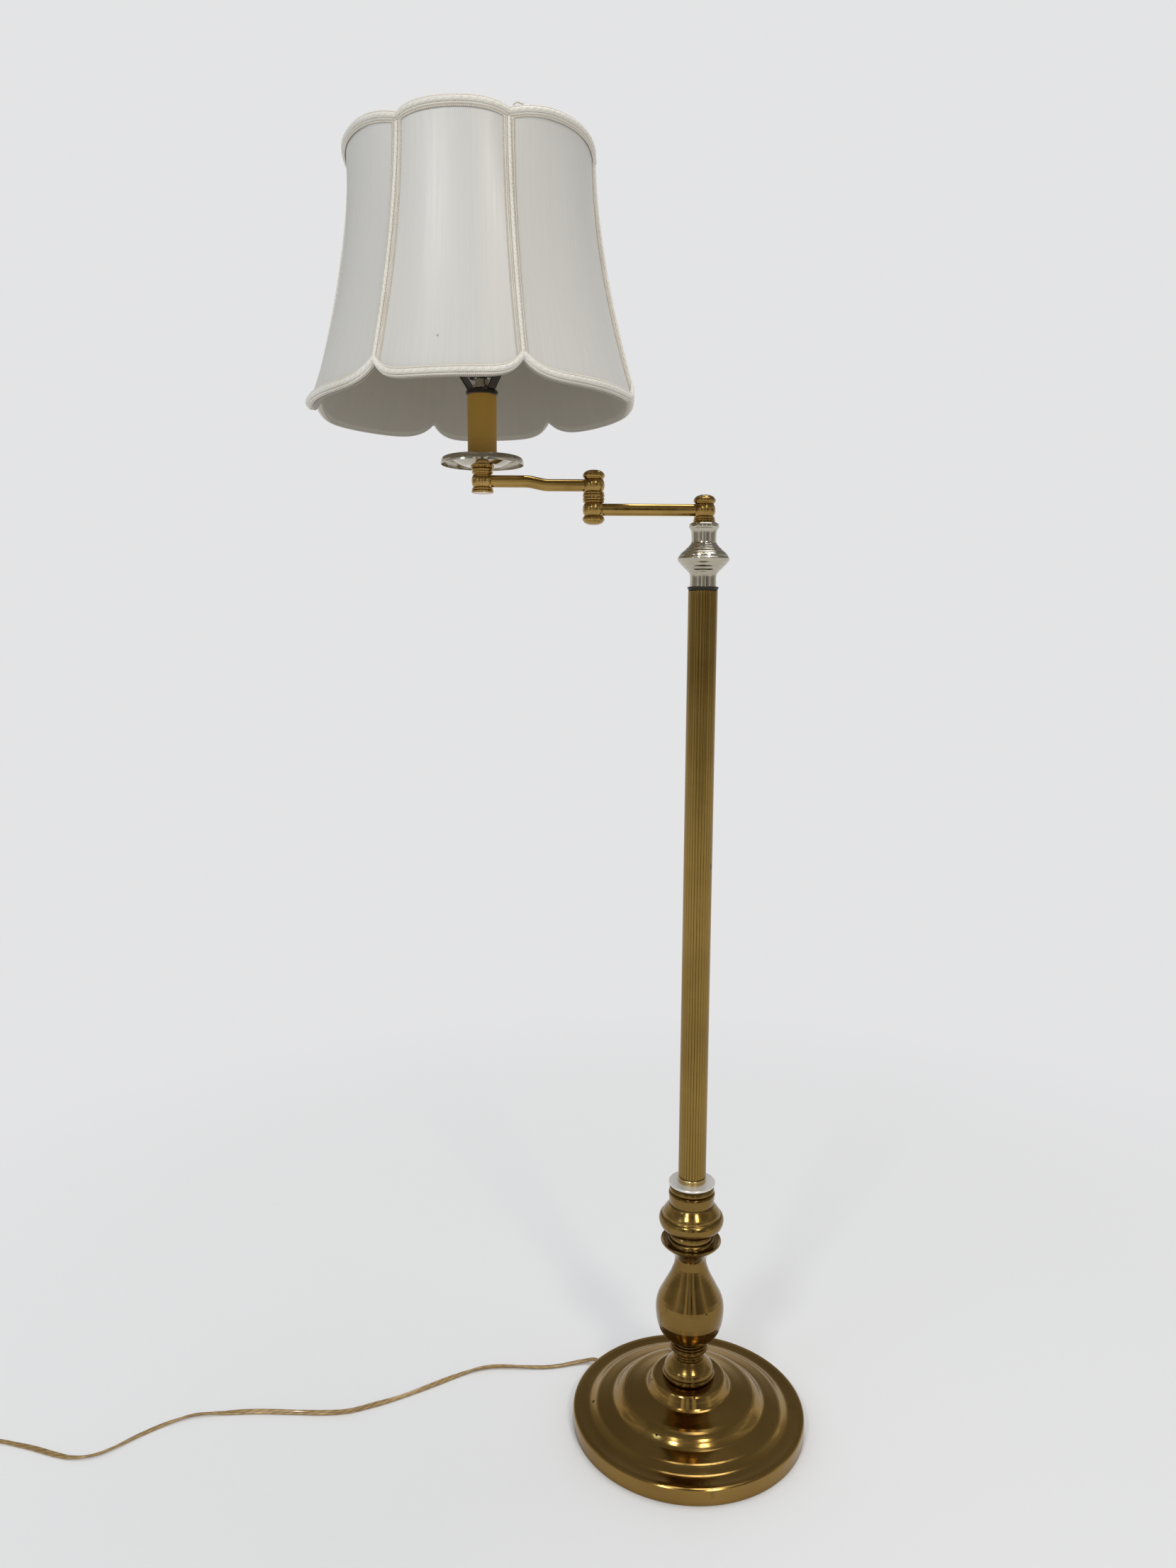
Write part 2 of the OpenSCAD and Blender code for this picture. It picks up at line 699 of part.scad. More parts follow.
// Upside-down knuckle: its rings are on top, its cap below
module middle_knuckle_lower() color("#8a6b28")
  translate([x2, 0, lower_z])
    difference() {
      mirror([0, 0, 1]) knuckle_body();
      mirror([0, 0, 1]) knuckle_hollow(1);
      translate([0, 0, -1]) cylinder(r = post_r + 0.05, h = 30);
    }

module middle_knuckle_cap() color("#8a6b28")
  translate([x2, 0, lower_z - ball_h / 2]) mirror([0, 0, 1]) knuckle_cap();

module middle_post() color("#9c8142")
  translate([x2, 0, lower_z + tube_r]) {
    pivot_post(upper_floor + face_gap + nut_h + 0.6 - lower_z - tube_r);
    translate([0, 0, -2.4]) ring_solid(post_r + 2, post_r - 1.2, 2.4);
  }

module middle_post_nut() color("#9c8142")
  translate([x2, 0, upper_floor + face_gap]) post_nut();

module middle_knuckle_upper() color("#8a6b28")
  translate([x2, 0, upper_z])
    difference() {
      knuckle_body();
      knuckle_hollow(-1);
      translate([0, 0, -30]) cylinder(r = post_r + run_gap, h = 40);
    }

module upper_knuckle_cap() color("#8a6b28")
  translate([x2, 0, upper_z + ball_h / 2]) knuckle_cap();

// The double bend: up through one arc, along a slope, and level again
bend_dx = bend_r * sin(bend_angle);
bend_dz = bend_r * (1 - cos(bend_angle));
slope_len = (bend_rise - 2 * bend_dz) / sin(bend_angle);
bend_run = 2 * bend_dx + slope_len * cos(bend_angle);
flat_end = 36.5;
flat_start = arm_len - 2 * tube_end - bend_run - flat_end;

bend_steps = [0:bend_angle / 4:bend_angle];
function bend_path(past) = concat(
  [[past, 0, 0]],
  [for (a = bend_steps) [-flat_start - bend_r * sin(a), 0, bend_r * (1 - cos(a))]],
  flip([
    for (a = bend_steps)
      [-flat_start - bend_run + bend_r * sin(a), 0, bend_rise - bend_r * (1 - cos(a))]
  ]),
  [[-flat_start - bend_run - flat_end - past, 0, bend_rise]]
);

module bent_bar(r, sides, past = 0) {
  sweep(bend_path(past), oval(r, r, sides), [0, 1, 0]);
}

module upper_tube() color("#8f7230")
  translate([x2 - tube_end, 0, upper_z])
    difference() {
      bent_bar(tube_r, 24);
      bent_bar(tube_bore_r, 24, 1);
    }

// It runs on through the end knuckle and turns up into the candle's pipe
module upper_arm_wire() color("#3b2c1c") {
  low = -tube_bore_r + arm_wire_r + wire_play;
  elbow_r = 5;
  elbow = [
    for (a = [0:18:90])
      [x3 - x2 + tube_end + elbow_r * (1 - sin(a)), 0, bend_rise + elbow_r * (1 - cos(a))]
  ];
  path = bend_path(0);
  translate([x2 - tube_end, 0, upper_z + low])
    sweep(concat(path, elbow, [[last(elbow)[0], 0, socket_z + 4 - upper_z - low]]),
      oval(arm_wire_r, arm_wire_r, 8), [0, 1, 0]);
}

end_top = pan_z - end_z;

module end_knuckle() color("#8a6b28")
  translate([x3, 0, end_z])
    difference() {
      rotate_extrude()
        polygon([
          [0, -ball_h / 2 - ring_h],
          each lifted(ring_pair(), -ball_h / 2 - ring_h),
          each [for (k = [0:10]) let (z = lerp(-ball_h / 2, ball_h / 2, k / 10)) [sqrt(ball_r * ball_r - z * z), z]],
          [ring_r - 2, ball_h / 2 + 0.5],
          each bead(ring_r - 0.6, ball_h / 2 + 0.8, 2.2, 1),
          each bead(ring_r - 0.2, ball_h / 2 + 3.4, 2.4, 1.2),
          [ring_r - 1.4, ball_h / 2 + 6], [ring_r + 0.3, ball_h / 2 + 6.4], [ring_r + 0.5, end_top],
          [0, end_top]
        ]);
      translate([0, 0, -tube_r]) cylinder(r = chamber_r, h = tube_r + ball_h / 2);
      rotate([0, 90, 0]) translate([0, 0, tube_end]) cylinder(r = tube_r + 0.05, h = ball_r);
      rotate([0, 90, 0]) cylinder(r = tube_bore_r, h = ball_r);
      translate([0, 0, -1]) cylinder(r = pipe_r + 0.05, h = 40);
    }

// ---- Drip pan, candle and socket ----

// A shallow funnel that rises from a flat seat to a crest and rolls down to its rim
module drip_pan() color("#c2c0b8")
  translate([x3, 0, pan_z]) {
    crest = pan_h - pan_t;
    rim_z = 1.4;
    under = curve([
      [pan_seat_r, 0], [lerp(pan_seat_r, pan_r, 0.14), crest * 0.08], [lerp(pan_seat_r, pan_r, 0.4), crest * 0.45],
      [lerp(pan_seat_r, pan_r, 0.64), crest * 0.85], [lerp(pan_seat_r, pan_r, 0.8), crest],
      [lerp(pan_seat_r, pan_r, 0.91), crest * 0.88], [pan_r - pan_t - 0.3, crest * 0.52], [pan_r - pan_t, rim_z]
    ], 3);
    rotate_extrude()
      polygon([
        [pipe_r + slip_gap, 0], each under,
        each [for (q = inset(flip(under), -pan_t)) [q[0], max(q[1], rim_z)]],
        [pan_seat_r, pan_t], [pipe_r + slip_gap, pan_t]
      ]);
  }

module candle_pipe() color("#a08a55")
  translate([x3, 0, end_z + 1])
    ring_solid(pipe_r, pipe_bore_r, neck_z + 5 - end_z - 1);

module candle_tube() color("#8a6a2c")
  translate([x3, 0, candle_z]) ring_solid(candle_r, candle_r - candle_t, candle_len);

module candle_cap() color("#2a2119")
  translate([x3, 0, candle_top_z])
    rotate_extrude()
      polygon([
        [pipe_r + slip_gap, candle_cap_h - 1.6], [candle_r - candle_t - slip_gap - 1, candle_cap_h - 1.6],
        [candle_r - candle_t - slip_gap - 1, -3], [candle_r - candle_t - slip_gap, -3],
        [candle_r - candle_t - slip_gap, 0], [candle_r + candle_cap_lip - 0.6, 0],
        [candle_r + candle_cap_lip, 0.8], [candle_r + candle_cap_lip, candle_cap_h - 1.4],
        [candle_r + candle_cap_lip - 1.2, candle_cap_h], [pipe_r + slip_gap, candle_cap_h]
      ]);

// The saddle: a flat plate, two sloping straps and two upright cups for the harp
module harp_saddle() color("#2a2119")
  translate([x3, 0, saddle_z]) rotate([0, 0, harp_turn]) {
    under = [[saddle_foot, 0], [harp_foot + strap_t / 2, saddle_bend_z], [harp_foot + strap_t / 2, saddle_top]];
    over = [
      [harp_foot - strap_t / 2, saddle_top], [harp_foot - strap_t / 2, saddle_bend_z + strap_t * 0.6],
      [saddle_foot - strap_t * 0.4, strap_t]
    ];
    arm = concat(under, over);
    difference() {
      translate([0, strap_w / 2, 0]) rotate([90, 0, 0]) linear_extrude(height = strap_w)
        polygon(concat(arm, flip([for (q = arm) [-q[0], q[1]]])));
      translate([0, 0, -1]) cylinder(r = pipe_r + slip_gap, h = 6);
    }
    for (s = [-1, 1])
      translate([s * harp_foot, 0, saddle_top]) cylinder(r = cup_post_r, h = cup_post_h);
  }

module socket_neck() color("#c4c2ba")
  translate([x3, 0, neck_z])
    rotate_extrude()
      polygon([
        [pipe_r + slip_gap, 0], [9, 0], [9, 3], [7, 3.4], [6.9, socket_neck_h - 0.6],
        [7.6, socket_neck_h], [pipe_r + slip_gap, socket_neck_h]
      ]);

module socket_cap() color("#4a3a22")
  translate([x3, 0, socket_z]) {
    p = curve([
      [12.3, 0], [13.6, 1.6], [socket_r - 1.2, 6], [socket_r - 0.2, 10], [socket_r, 13], [socket_r, socket_cap_h]
    ], 3);
    rotate_extrude()
      polygon([
        [3.4, 0], each p, [socket_r - socket_wall, socket_cap_h],
        each flip([for (q = inset(p, socket_wall)) if (q[1] > 1.4 && q[1] < socket_cap_h - 0.5) q]),
        [3.4, 1.2]
      ]);
  }

// The switch knob's stem runs out through the shell, square to the harp
knob_turn = harp_turn - 90;

module socket_shell() color("#8f7433")
  translate([x3, 0, 0])
    difference() {
      translate([0, 0, socket_z + socket_cap_h])
        rotate_extrude()
          polygon([
            [socket_r - socket_wall, 0], [socket_r, 0], [socket_r, 14],
            [socket_r - 0.6, 16], [socket_r, 18], [socket_r, socket_h - socket_cap_h - 2],
            [socket_r + 0.8, socket_h - socket_cap_h - 1], [socket_r, socket_h - socket_cap_h],
            [socket_r - socket_wall, socket_h - socket_cap_h]
          ]);
      translate([0, 0, knob_z]) rotate([0, 0, knob_turn]) rotate([0, 90, 0])
        cylinder(r = 2.4, h = 30);
    }

module socket_core() color("#2f2723")
  translate([x3, 0, 0])
    difference() {
      translate([0, 0, socket_z + 4]) cylinder(r = socket_r - socket_wall - 2.6, h = bulb_base_z - socket_z - 4.6);
      translate([0, 0, socket_z]) cylinder(r = 3.4, h = 12);
      translate([0, 0, knob_z]) rotate([0, 0, knob_turn]) rotate([0, 90, 0])
        cylinder(r = 1.6 + run_gap, h = 30);
    }

module switch_knob() color("#201a16")
  translate([x3, 0, knob_z]) rotate([0, 0, knob_turn]) rotate([0, 90, 0]) {
    translate([0, 0, 6]) cylinder(r = 1.6, h = socket_r + 5 - 6);
    translate([0, 0, socket_r + 4])
      difference() {
        rotate_extrude()
          polygon([
            [0, 0], [knob_r * 0.45, 0], [knob_r * 0.6, 1.5], [knob_r, 3], [knob_r, 9],
            [knob_r - 1, 11], [0, 11.6]
          ]);
        for (a = [0:30:330])
          rotate([0, 0, a]) translate([knob_r + 0.5, 0, 2]) cylinder(r = 0.9, h = 11, $fn = 16);
      }
  }

module bulb_base() color("#b8b7b2")
  translate([x3, 0, bulb_base_z])
    rotate_extrude()
      polygon([
        [0, 0], [4.5, 0], [5, 2.4], [10.5, 5],
        each [for (k = [0:15]) [bulb_base_r - (k % 2 == 0 ? 0 : 0.9), 5.6 + k * 1.05]],
        [bulb_base_r, bulb_base_h - 1.4], [bulb_base_r, bulb_base_h], [0, bulb_base_h]
      ]);

module bulb_glass() color("#efeadf")
  translate([x3, 0, bulb_z])
    rotate_extrude()
      polygon([
        [0, 0],
        each curve([
          [bulb_base_r - 0.6, 0], [bulb_base_r + 0.6, bulb_len * 0.12], [bulb_r * 0.63, bulb_len * 0.27],
          [bulb_r * 0.87, bulb_len * 0.45], [bulb_r, bulb_len * 0.65], [bulb_r * 0.88, bulb_len * 0.84],
          [bulb_r * 0.52, bulb_len * 0.965], [0.01, bulb_len]
        ], 4),
        [0, bulb_len]
      ]);

// ---- Harp ----

// One side of the harp's wire, from its foot up to the seat, before it leans, straight as
// far as its sleeve lifts
harp_side = curve([
  [harp_foot, 0.4], [harp_foot, sleeve_h / 2], [harp_foot + 1, sleeve_h / 2 + sleeve_lift + 1],
  [lerp(harp_foot, harp_bow, 0.55), harp_h * 0.24], [harp_bow, harp_h * 0.5],
  [lerp(harp_foot, harp_bow, 0.7), harp_h * 0.78], [harp_foot * 0.9, harp_h * 0.93],
  [harp_foot * 0.45, harp_h - 3.4], [0, harp_h - 2.6]
], 3);

// The lean is a sideways shift that grows smoothly from the feet to the seat
function swayed(p) =
  let (t = p[1] / harp_h, s = harp_sway * t * t * (3 - 2 * t))
  [p[0] * cos(harp_turn) - s, p[0] * sin(harp_turn), p[1]];

module harp() color("#a98f4c")
  translate([x3, 0, harp_z]) {
    left = [for (q = harp_side) swayed([-q[0], q[1]])];
    right = [for (q = flip(harp_side)) swayed(q)];
    path = concat(left, [for (i = [1:len(right) - 1]) right[i]]);
    sweep(path, oval(harp_wire_r, harp_wire_r, 8), [-sin(harp_turn), cos(harp_turn), 0]);
    for (s = [-1, 1])
      translate([s * harp_foot * cos(harp_turn), s * harp_foot * sin(harp_turn), 0])
        cylinder(r = cup_post_r, h = cup_post_h);
    translate([-harp_sway, 0, harp_h - 4.6])
      rotate_extrude()
        polygon([[0, 0], [5, 0], [7, 1.6], [7, 4.6], [stud_r, 4.6], [stud_r, 18], [0, 18]]);
  }

module harp_sleeve(side) {
  translate([x3 + side * harp_foot * cos(harp_turn), side * harp_foot * sin(harp_turn), harp_z - sleeve_h / 2])
    ring_solid(cup_post_r + slip_gap + 1.2, cup_post_r + slip_gap, sleeve_h);
}

module harp_sleeve_left() color("#9c8142") harp_sleeve(-1);

module harp_sleeve_right() color("#9c8142") harp_sleeve(1);

module finial() color("#9a7a35")
  translate([shade_x, 0, hub_z + hub_t + face_gap])
    difference() {
      rotate_extrude()
        polygon([
          [0, 0], [finial_r * 0.8, 0], [finial_r * 0.85, 1.2], [finial_r * 0.55, 2.4],
          each curve([
            [finial_r * 0.5, finial_h * 0.16], [finial_r * 0.62, finial_h * 0.26], [finial_r, finial_h * 0.5],
            [finial_r * 0.9, finial_h * 0.7], [finial_r * 0.45, finial_h * 0.88], [0.6, finial_h]
          ], 3),
          [0, finial_h]
        ]);
      translate([0, 0, -1]) cylinder(r = stud_r + slip_gap, h = 13.6);
    }

// ---- Shade ----

// The six seams round the shade, and the place of an angle within its panel
seams = [0, seam_angle, 180 - seam_angle, 180, 180 + seam_angle, 360 - seam_angle, 360];
panel_steps = [-1, -0.9, -0.75, -0.5, -0.2, 0.2, 0.5, 0.75, 0.9];
front_span = 180 - 2 * seam_angle;
function span(i) = seams[i + 1] - seams[i];
function panel_out(i) = span(i) < front_span + 0.1 ? panel_bulge : side_bulge;
// Every station round the shade: its angle, how near to a seam it is, from 0 to 1, how far
// its panel's top edge rises, which grows with the panel's span, and how far it bulges
stations = [
  for (i = [0:5])
    let (rise = scallop_rise * pow(span(i) / front_span, 2))
    for (s = panel_steps)
      [lerp(seams[i], seams[i + 1], (s + 1) / 2) + shade_turn, abs(s), rise, panel_out(i)]
];
function at_seam(angle) = [angle, 1, 0, 0];
function top_edge(s) = shade_top_z + s[2] * (1 - pow(s[1], 2.5));
function bottom_edge(s) = shade_bottom_z - scallop_drop * (1 - pow(s[1], 6));
// A point of the cover's outer face, t from the top edge (0) to the bottom edge (1)
function skin_r(near, t, out = 0) =
  lerp(shade_top_r, shade_bottom_r, pow(max(t, 0), flare))
  + (out - panel_sag * 4 * t * (1 - t)) * (1 - pow(near, 4));
function on_shade(angle, r, z) =
  [shade_x + r * cos(angle), r * sin(angle), z + r * cos(angle) * sin(shade_tilt)];
function skin(s, t, out) =
  on_shade(s[0], skin_r(s[1], t, s[3]) + out, lerp(top_edge(s), bottom_edge(s), t));

// A closed band round the shade from rings of points, all of one length
module round_band(rings) {
  m = len(rings);
  n = len(rings[0]);
  polyhedron(
    points = [for (r = rings) each r],
    faces = [
      for (i = [0:m - 1]) for (j = [0:n - 1])
        [i * n + j, i * n + (j + 1) % n, ((i + 1) % m) * n + (j + 1) % n, ((i + 1) % m) * n + j]
    ]
  );
}

top_share = top_trim_h / shade_h;
bottom_share = 1 - bottom_trim_h / shade_h;
down_steps = [0, top_share, each [for (k = [1:4]) lerp(top_share, bottom_share, k / 5)], bottom_share, 1];
braid_steps = [for (k = [1:len(down_steps) - 2]) down_steps[k]];

module shade_skin(out, wall, high = 0, low = 1) {
  steps = [for (t = down_steps) lerp(high, low, t)];
  round_band([
    for (s = stations) concat(
      [for (t = steps) skin(s, t, out - wall)],
      [for (t = flip(steps)) skin(s, t, out)]
    )
  ]);
}

braid_gap = 0.3;
ring_top = 2.7 / shade_h;
ring_low = 1 - 3.3 / shade_h;
lining_top = 6.7 / shade_h;
wire_out = -silk_t - seat_gap - wire_r;
lining_out = wire_out - wire_r - seat_gap;

module shade_cover() color("#e9e6dd") shade_skin(0, silk_t);

// The lining hangs inside the wires, from just under the spider's arms
module shade_lining() color("#cfc9bb") shade_skin(lining_out, lining_t, lining_top, ring_low);

module shade_wires() color("#8d8f92") {
  ring = oval(wire_r, wire_r, 6);
  for (t = [ring_top, ring_low])
    round_band([
      for (s = stations)
        let (c = skin(s, t, wire_out))
        [for (q = ring) c + [q[0] * cos(s[0]), q[0] * sin(s[0]), q[1]]]
    ]);
  for (i = [0:5])
    let (a = seams[i] + shade_turn)
    sweep([for (t = down_steps) skin(at_seam(a), lerp(ring_top, ring_low, t), wire_out)],
      oval(wire_r * 0.9, wire_r * 0.9, 6), [-sin(a), cos(a), 0]);
}

module shade_spider() color("#8d8f92")
  translate([shade_x, 0, hub_z])
    difference() {
      union() {
        cylinder(r = 11, h = hub_t);
        for (k = [1, 3, 5]) {
          a = seams[k] + shade_turn;
          reach = shade_top_r + wire_out - wire_r - face_gap;
          rise = hub_recess - 2.5 - hub_t / 2 + reach * cos(a) * sin(shade_tilt);
          rotate([0, 0, a]) translate([8, 0, hub_t / 2])
            rotate([0, 90 - atan2(rise, reach - 8), 0])
              cylinder(r = 1.6, h = norm([rise, reach - 8]));
        }
      }
      translate([0, 0, -1]) cylinder(r = stud_r + 0.3, h = hub_t + 2);
      translate([0, 0, -4]) cylinder(r = 8, h = 4);
      translate([0, 0, hub_t]) cylinder(r = 8, h = 8);
    }

// Trim round both edges: a low band with a fat roll at the edge itself
module shade_trim() color("#e2dccb") {
  full = trim_t;
  for (edge = [0, 1]) {
    up = edge == 0 ? 1 : -1;
    round_band([
      for (s = stations)
        let (
          rim = skin(s, edge, 0),
          low = skin(s, edge == 0 ? top_share : bottom_share, 0),
          d = [cos(s[0]), sin(s[0]), 0],
          z = [0, 0, up],
          p = [
            low + seat_gap * d, rim + seat_gap * d + 0.2 * z, rim - 2 * d + 0.2 * z, rim - 1.4 * d + 1.8 * z,
            rim + full * 0.5 * d + 2.6 * z, rim + full * d + 1 * z,
            lerp(rim, low, 0.35) + full * d, lerp(rim, low, 0.55) + full * 0.45 * d,
            low + full * 0.35 * d
          ]
        )
        edge == 0 ? flip(p) : p
    ]);
  }
}

// One braid over each seam, its edges lying on the two panels
module seam_braids() color("#ddd5bf")
  for (i = [0:5]) {
    a = seams[i] + shade_turn;
    sides = [(i + 5) % 6, i];
    under = [-1, -0.5, 0, 0.5, 1];
    over = [0.45, 0, -0.45];
    rings = [
      for (t = braid_steps)
        let (r = skin_r(1, t))
        concat(
          [for (c = under) braid_point(a, c, r, t, sides, braid_gap)],
          [
            for (c = over) braid_point(a, c, r, t, sides, braid_gap + braid_t * (1 - abs(c)))
          ]
        )
    ];
    n = len(rings[0]);
    m = len(rings);
    polyhedron(
      points = [for (r = rings) each r],
      faces = [
        [for (j = [0:n - 1]) j],
        each [
          for (k = [0:m - 2]) for (j = [0:n - 1])
            flip([k * n + j, k * n + (j + 1) % n, (k + 1) * n + (j + 1) % n, (k + 1) * n + j])
        ],
        [for (j = [n - 1:-1:0]) (m - 1) * n + j]
      ]
    );
  }

function braid_point(a, c, r, t, sides, out) =
  let (
    turn = c * braid_w / 2 / r * 180 / PI,
    side = sides[c < 0 ? 0 : 1],
    near = 1 - 2 * abs(turn) / span(side)
  )
  on_shade(a + turn, skin_r(near, t, panel_out(side)) + out, lerp(shade_top_z, shade_bottom_z, t));

// ---- Cord ----

module cord_bushing() color("#2c221a")
  rotate([0, 0, cord_angle]) translate([0, 0, cord_exit_z]) rotate([0, 90, 0])
    rotate_extrude()
      polygon([
        [0, base_r - 7], [4.3, base_r - 7], [4.3, base_r + 0.35], [5.8, base_r + 0.35],
        [5.4, exit_r], [0, exit_r]
      ]);

// Two stretches: from the base to the coil, and from the coil to the plug
module power_cord() color("#8a7038") {
  section = oval(cord_r, cord_r * 0.95, 8);
  sweep(curve(cord_route, 2), section, [0, 0, 1]);
  sweep(curve(tail_route, 3), section, [0, 0, 1]);
}

module cord_coil() color("#8a7038")
  translate([coil_x, coil_y, coil_z])
    rotate_extrude()
      translate([coil_mid_r - coil_half, 0]) square([2 * coil_half, 2 * coil_half]);

module coil_tie() color("#3a3128")
  translate([coil_x, coil_y, 0]) rotate([0, 0, 215])
    translate([coil_mid_r, 0, 0])
      difference() {
        translate([-coil_half - 1.2, -3, 0]) cube([2 * coil_half + 2.4, 6, 2 * coil_half + 2.2]);
        translate([-coil_half - 0.4, -4, tie_t]) cube([2 * coil_half + 0.8, 8, 2 * coil_half + 0.5]);
      }

module at_plug() translate([plug_at[0], plug_at[1], 0]) rotate([0, 0, plug_turn]) children();

// A flat-sided body that widens from the cord to a finger grip
module plug() color("#7a6233")
  at_plug() translate([0, 0, 0.4])
    difference() {
      linear_extrude(height = plug_h)
        polygon([
          [0, -4], [6, -5.5], [12, -10], [15, -plug_w / 2], [plug_len - 2, -plug_w / 2], [plug_len, 2 - plug_w / 2],
          [plug_len, plug_w / 2 - 2], [plug_len - 2, plug_w / 2], [15, plug_w / 2], [12, 10], [6, 5.5], [0, 4]
        ]);
      for (s = [-1, 1])
        translate([plug_len - blade_root, s * blade_pitch / 2 - blade_t / 2, (plug_h - blade_w) / 2])
          cube([blade_root + 1, blade_t, blade_w]);
    }

module plug_blades() color("#b9a15c")
  at_plug() translate([0, 0, 0.4])
    for (s = [-1, 1])
      translate([plug_len - blade_root, s * blade_pitch / 2 - blade_t / 2, (plug_h - blade_w) / 2])
        cube([blade_root + blade_len, blade_t, blade_w]);

felt_pad();
base_weight();
base_washer();
base_nut();
base_shell();
stem_pipe();
stem_wire();
bell_foot();
ringed_collar();
baluster();
ring_knop();
cup();
seat_plate();
seat_ring();
column();
black_ring();
top_vase();
column_post();
column_post_nut();
lower_knuckle();
lower_knuckle_cap();
lower_tube();
lower_arm_wire();
middle_knuckle_lower();
middle_knuckle_cap();
middle_post();
middle_post_nut();
middle_knuckle_upper();
upper_knuckle_cap();
upper_tube();
upper_arm_wire();
end_knuckle();
drip_pan();
candle_tube();
candle_cap();
candle_pipe();
harp_saddle();
socket_neck();
socket_cap();
socket_shell();
socket_core();
switch_knob();
bulb_base();
bulb_glass();
harp();
harp_sleeve_left();
harp_sleeve_right();
finial();
shade_spider();
shade_wires();
shade_lining();
shade_cover();
shade_trim();
seam_braids();
cord_bushing();
power_cord();
cord_coil();
coil_tie();
plug();
plug_blades();
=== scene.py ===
"""Dresses a double swing-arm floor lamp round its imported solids.

Aged spun brass, a reeded column, nickel fittings, a candle cover, a scalloped silk shade
with twisted trim, and a flat twin cord. Every length is in metres, and one that is written
in millimetres is multiplied by MM. Every angle is in degrees until it is turned into radians.
"""

import logging
import math
from dataclasses import dataclass, field, replace
from enum import Enum
from typing import Callable, Optional, Sequence, Union

import bmesh
import bpy
from mathutils import Matrix, Vector, noise


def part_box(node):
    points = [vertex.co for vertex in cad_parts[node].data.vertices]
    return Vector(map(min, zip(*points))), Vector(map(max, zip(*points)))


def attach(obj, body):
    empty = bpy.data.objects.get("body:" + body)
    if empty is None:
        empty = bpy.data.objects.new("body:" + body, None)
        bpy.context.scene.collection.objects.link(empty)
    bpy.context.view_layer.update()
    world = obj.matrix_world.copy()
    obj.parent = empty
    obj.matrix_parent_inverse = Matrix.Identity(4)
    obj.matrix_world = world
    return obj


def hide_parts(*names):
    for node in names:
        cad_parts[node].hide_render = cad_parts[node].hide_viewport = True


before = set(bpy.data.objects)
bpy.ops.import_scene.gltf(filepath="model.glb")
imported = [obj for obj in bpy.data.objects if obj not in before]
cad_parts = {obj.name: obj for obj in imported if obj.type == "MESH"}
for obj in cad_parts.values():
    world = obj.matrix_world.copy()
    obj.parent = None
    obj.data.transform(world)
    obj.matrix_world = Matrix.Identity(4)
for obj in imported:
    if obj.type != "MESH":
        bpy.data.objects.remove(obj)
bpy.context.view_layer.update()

LOG = logging.getLogger("floor_lamp")
MM = 0.001
UV_NAME = "run"

Pair = tuple[float, float]
Triple = tuple[float, float, float]
Colour = Triple
Bands = tuple[Pair, ...]
Place = Callable[[float, float], Vector]
Section = Callable[[float, float], Pair]
Socket = bpy.types.NodeSocket
Input = Union[Socket, float, tuple]


class Body(str, Enum):
    """The moving groups that the new pieces ride on, by the names that the solids use."""

    STAND = "stand"
    UPPER_ARM = "upper_arm"


class Edge(str, Enum):
    """The two trimmed edges of the shade."""

    TOP = "top"
    BOTTOM = "bottom"


# ---- Curves ----


def lerp(a: float, b: float, t: float) -> float:
    """Returns the value at t between a and b."""
    return a + (b - a) * t


def smoothstep(t: float) -> float:
    """Returns t eased at both ends, held between 0 and 1."""
    t = min(1.0, max(0.0, t))
    return t * t * (3 - 2 * t)


def catmull(points: Sequence[Vector], steps: int) -> list[Vector]:
    """Runs a smooth curve through points.

    Args:
        points: The points that the curve passes through.
        steps: How many steps there are from each point to the next.

    Returns:
        The points of the smooth curve, the last one included.
    """
    out = []
    last = len(points) - 1
    for i in range(last):
        a, b = points[max(i - 1, 0)], points[i]
        c, d = points[i + 1], points[min(i + 2, last)]
        for k in range(steps):
            t = k / steps
            out.append(
                0.5
                * (
                    2 * b
                    + (c - a) * t
                    + (2 * a - 5 * b + 4 * c - d) * t * t
                    + (3 * b - a - 3 * c + d) * t * t * t
                )
            )
    out.append(points[last].copy())
    return out


def lengths(points: Sequence[Vector]) -> list[float]:
    """Measures along a line.

    Args:
        points: The line.

    Returns:
        The distance run at each of its points.
    """
    run = [0.0]
    for a, b in zip(points, points[1:]):
        run.append(run[-1] + (b - a).length)
    return run


def respaced(points: Sequence[Vector], step: float) -> list[Vector]:
    """Spaces the points of a line evenly.

    Args:
        points: The line.
        step: The distance wanted from each point to the next.

    Returns:
        The same line with points about that far apart, both ends kept.
    """
    run = lengths(points)
    count = max(2, round(run[-1] / step))
    out, k = [], 0
    for i in range(count + 1):
        at = run[-1] * i / count
        while k < len(run) - 2 and run[k + 1] < at:
            k += 1
        span = run[k + 1] - run[k]
        share = (at - run[k]) / span if span else 0.0
        out.append(points[k].lerp(points[k + 1], share))
    return out


# ---- Meshes ----


def finished(name: str, mesh: bmesh.types.BMesh, smooth: bool = True) -> bpy.types.Object:
    """Turns a bmesh into an object at the origin.

    Args:
        name: The object's name.
        mesh: The bmesh, which is freed.
        smooth: Whether its faces are shaded smooth.

    Returns:
        The new object, linked to the scene.
    """
    for face in mesh.faces:
        face.smooth = smooth
    data = bpy.data.meshes.new(name)
    mesh.to_mesh(data)
    mesh.free()
    thing = bpy.data.objects.new(name, data)
    bpy.context.scene.collection.objects.link(thing)
    return thing


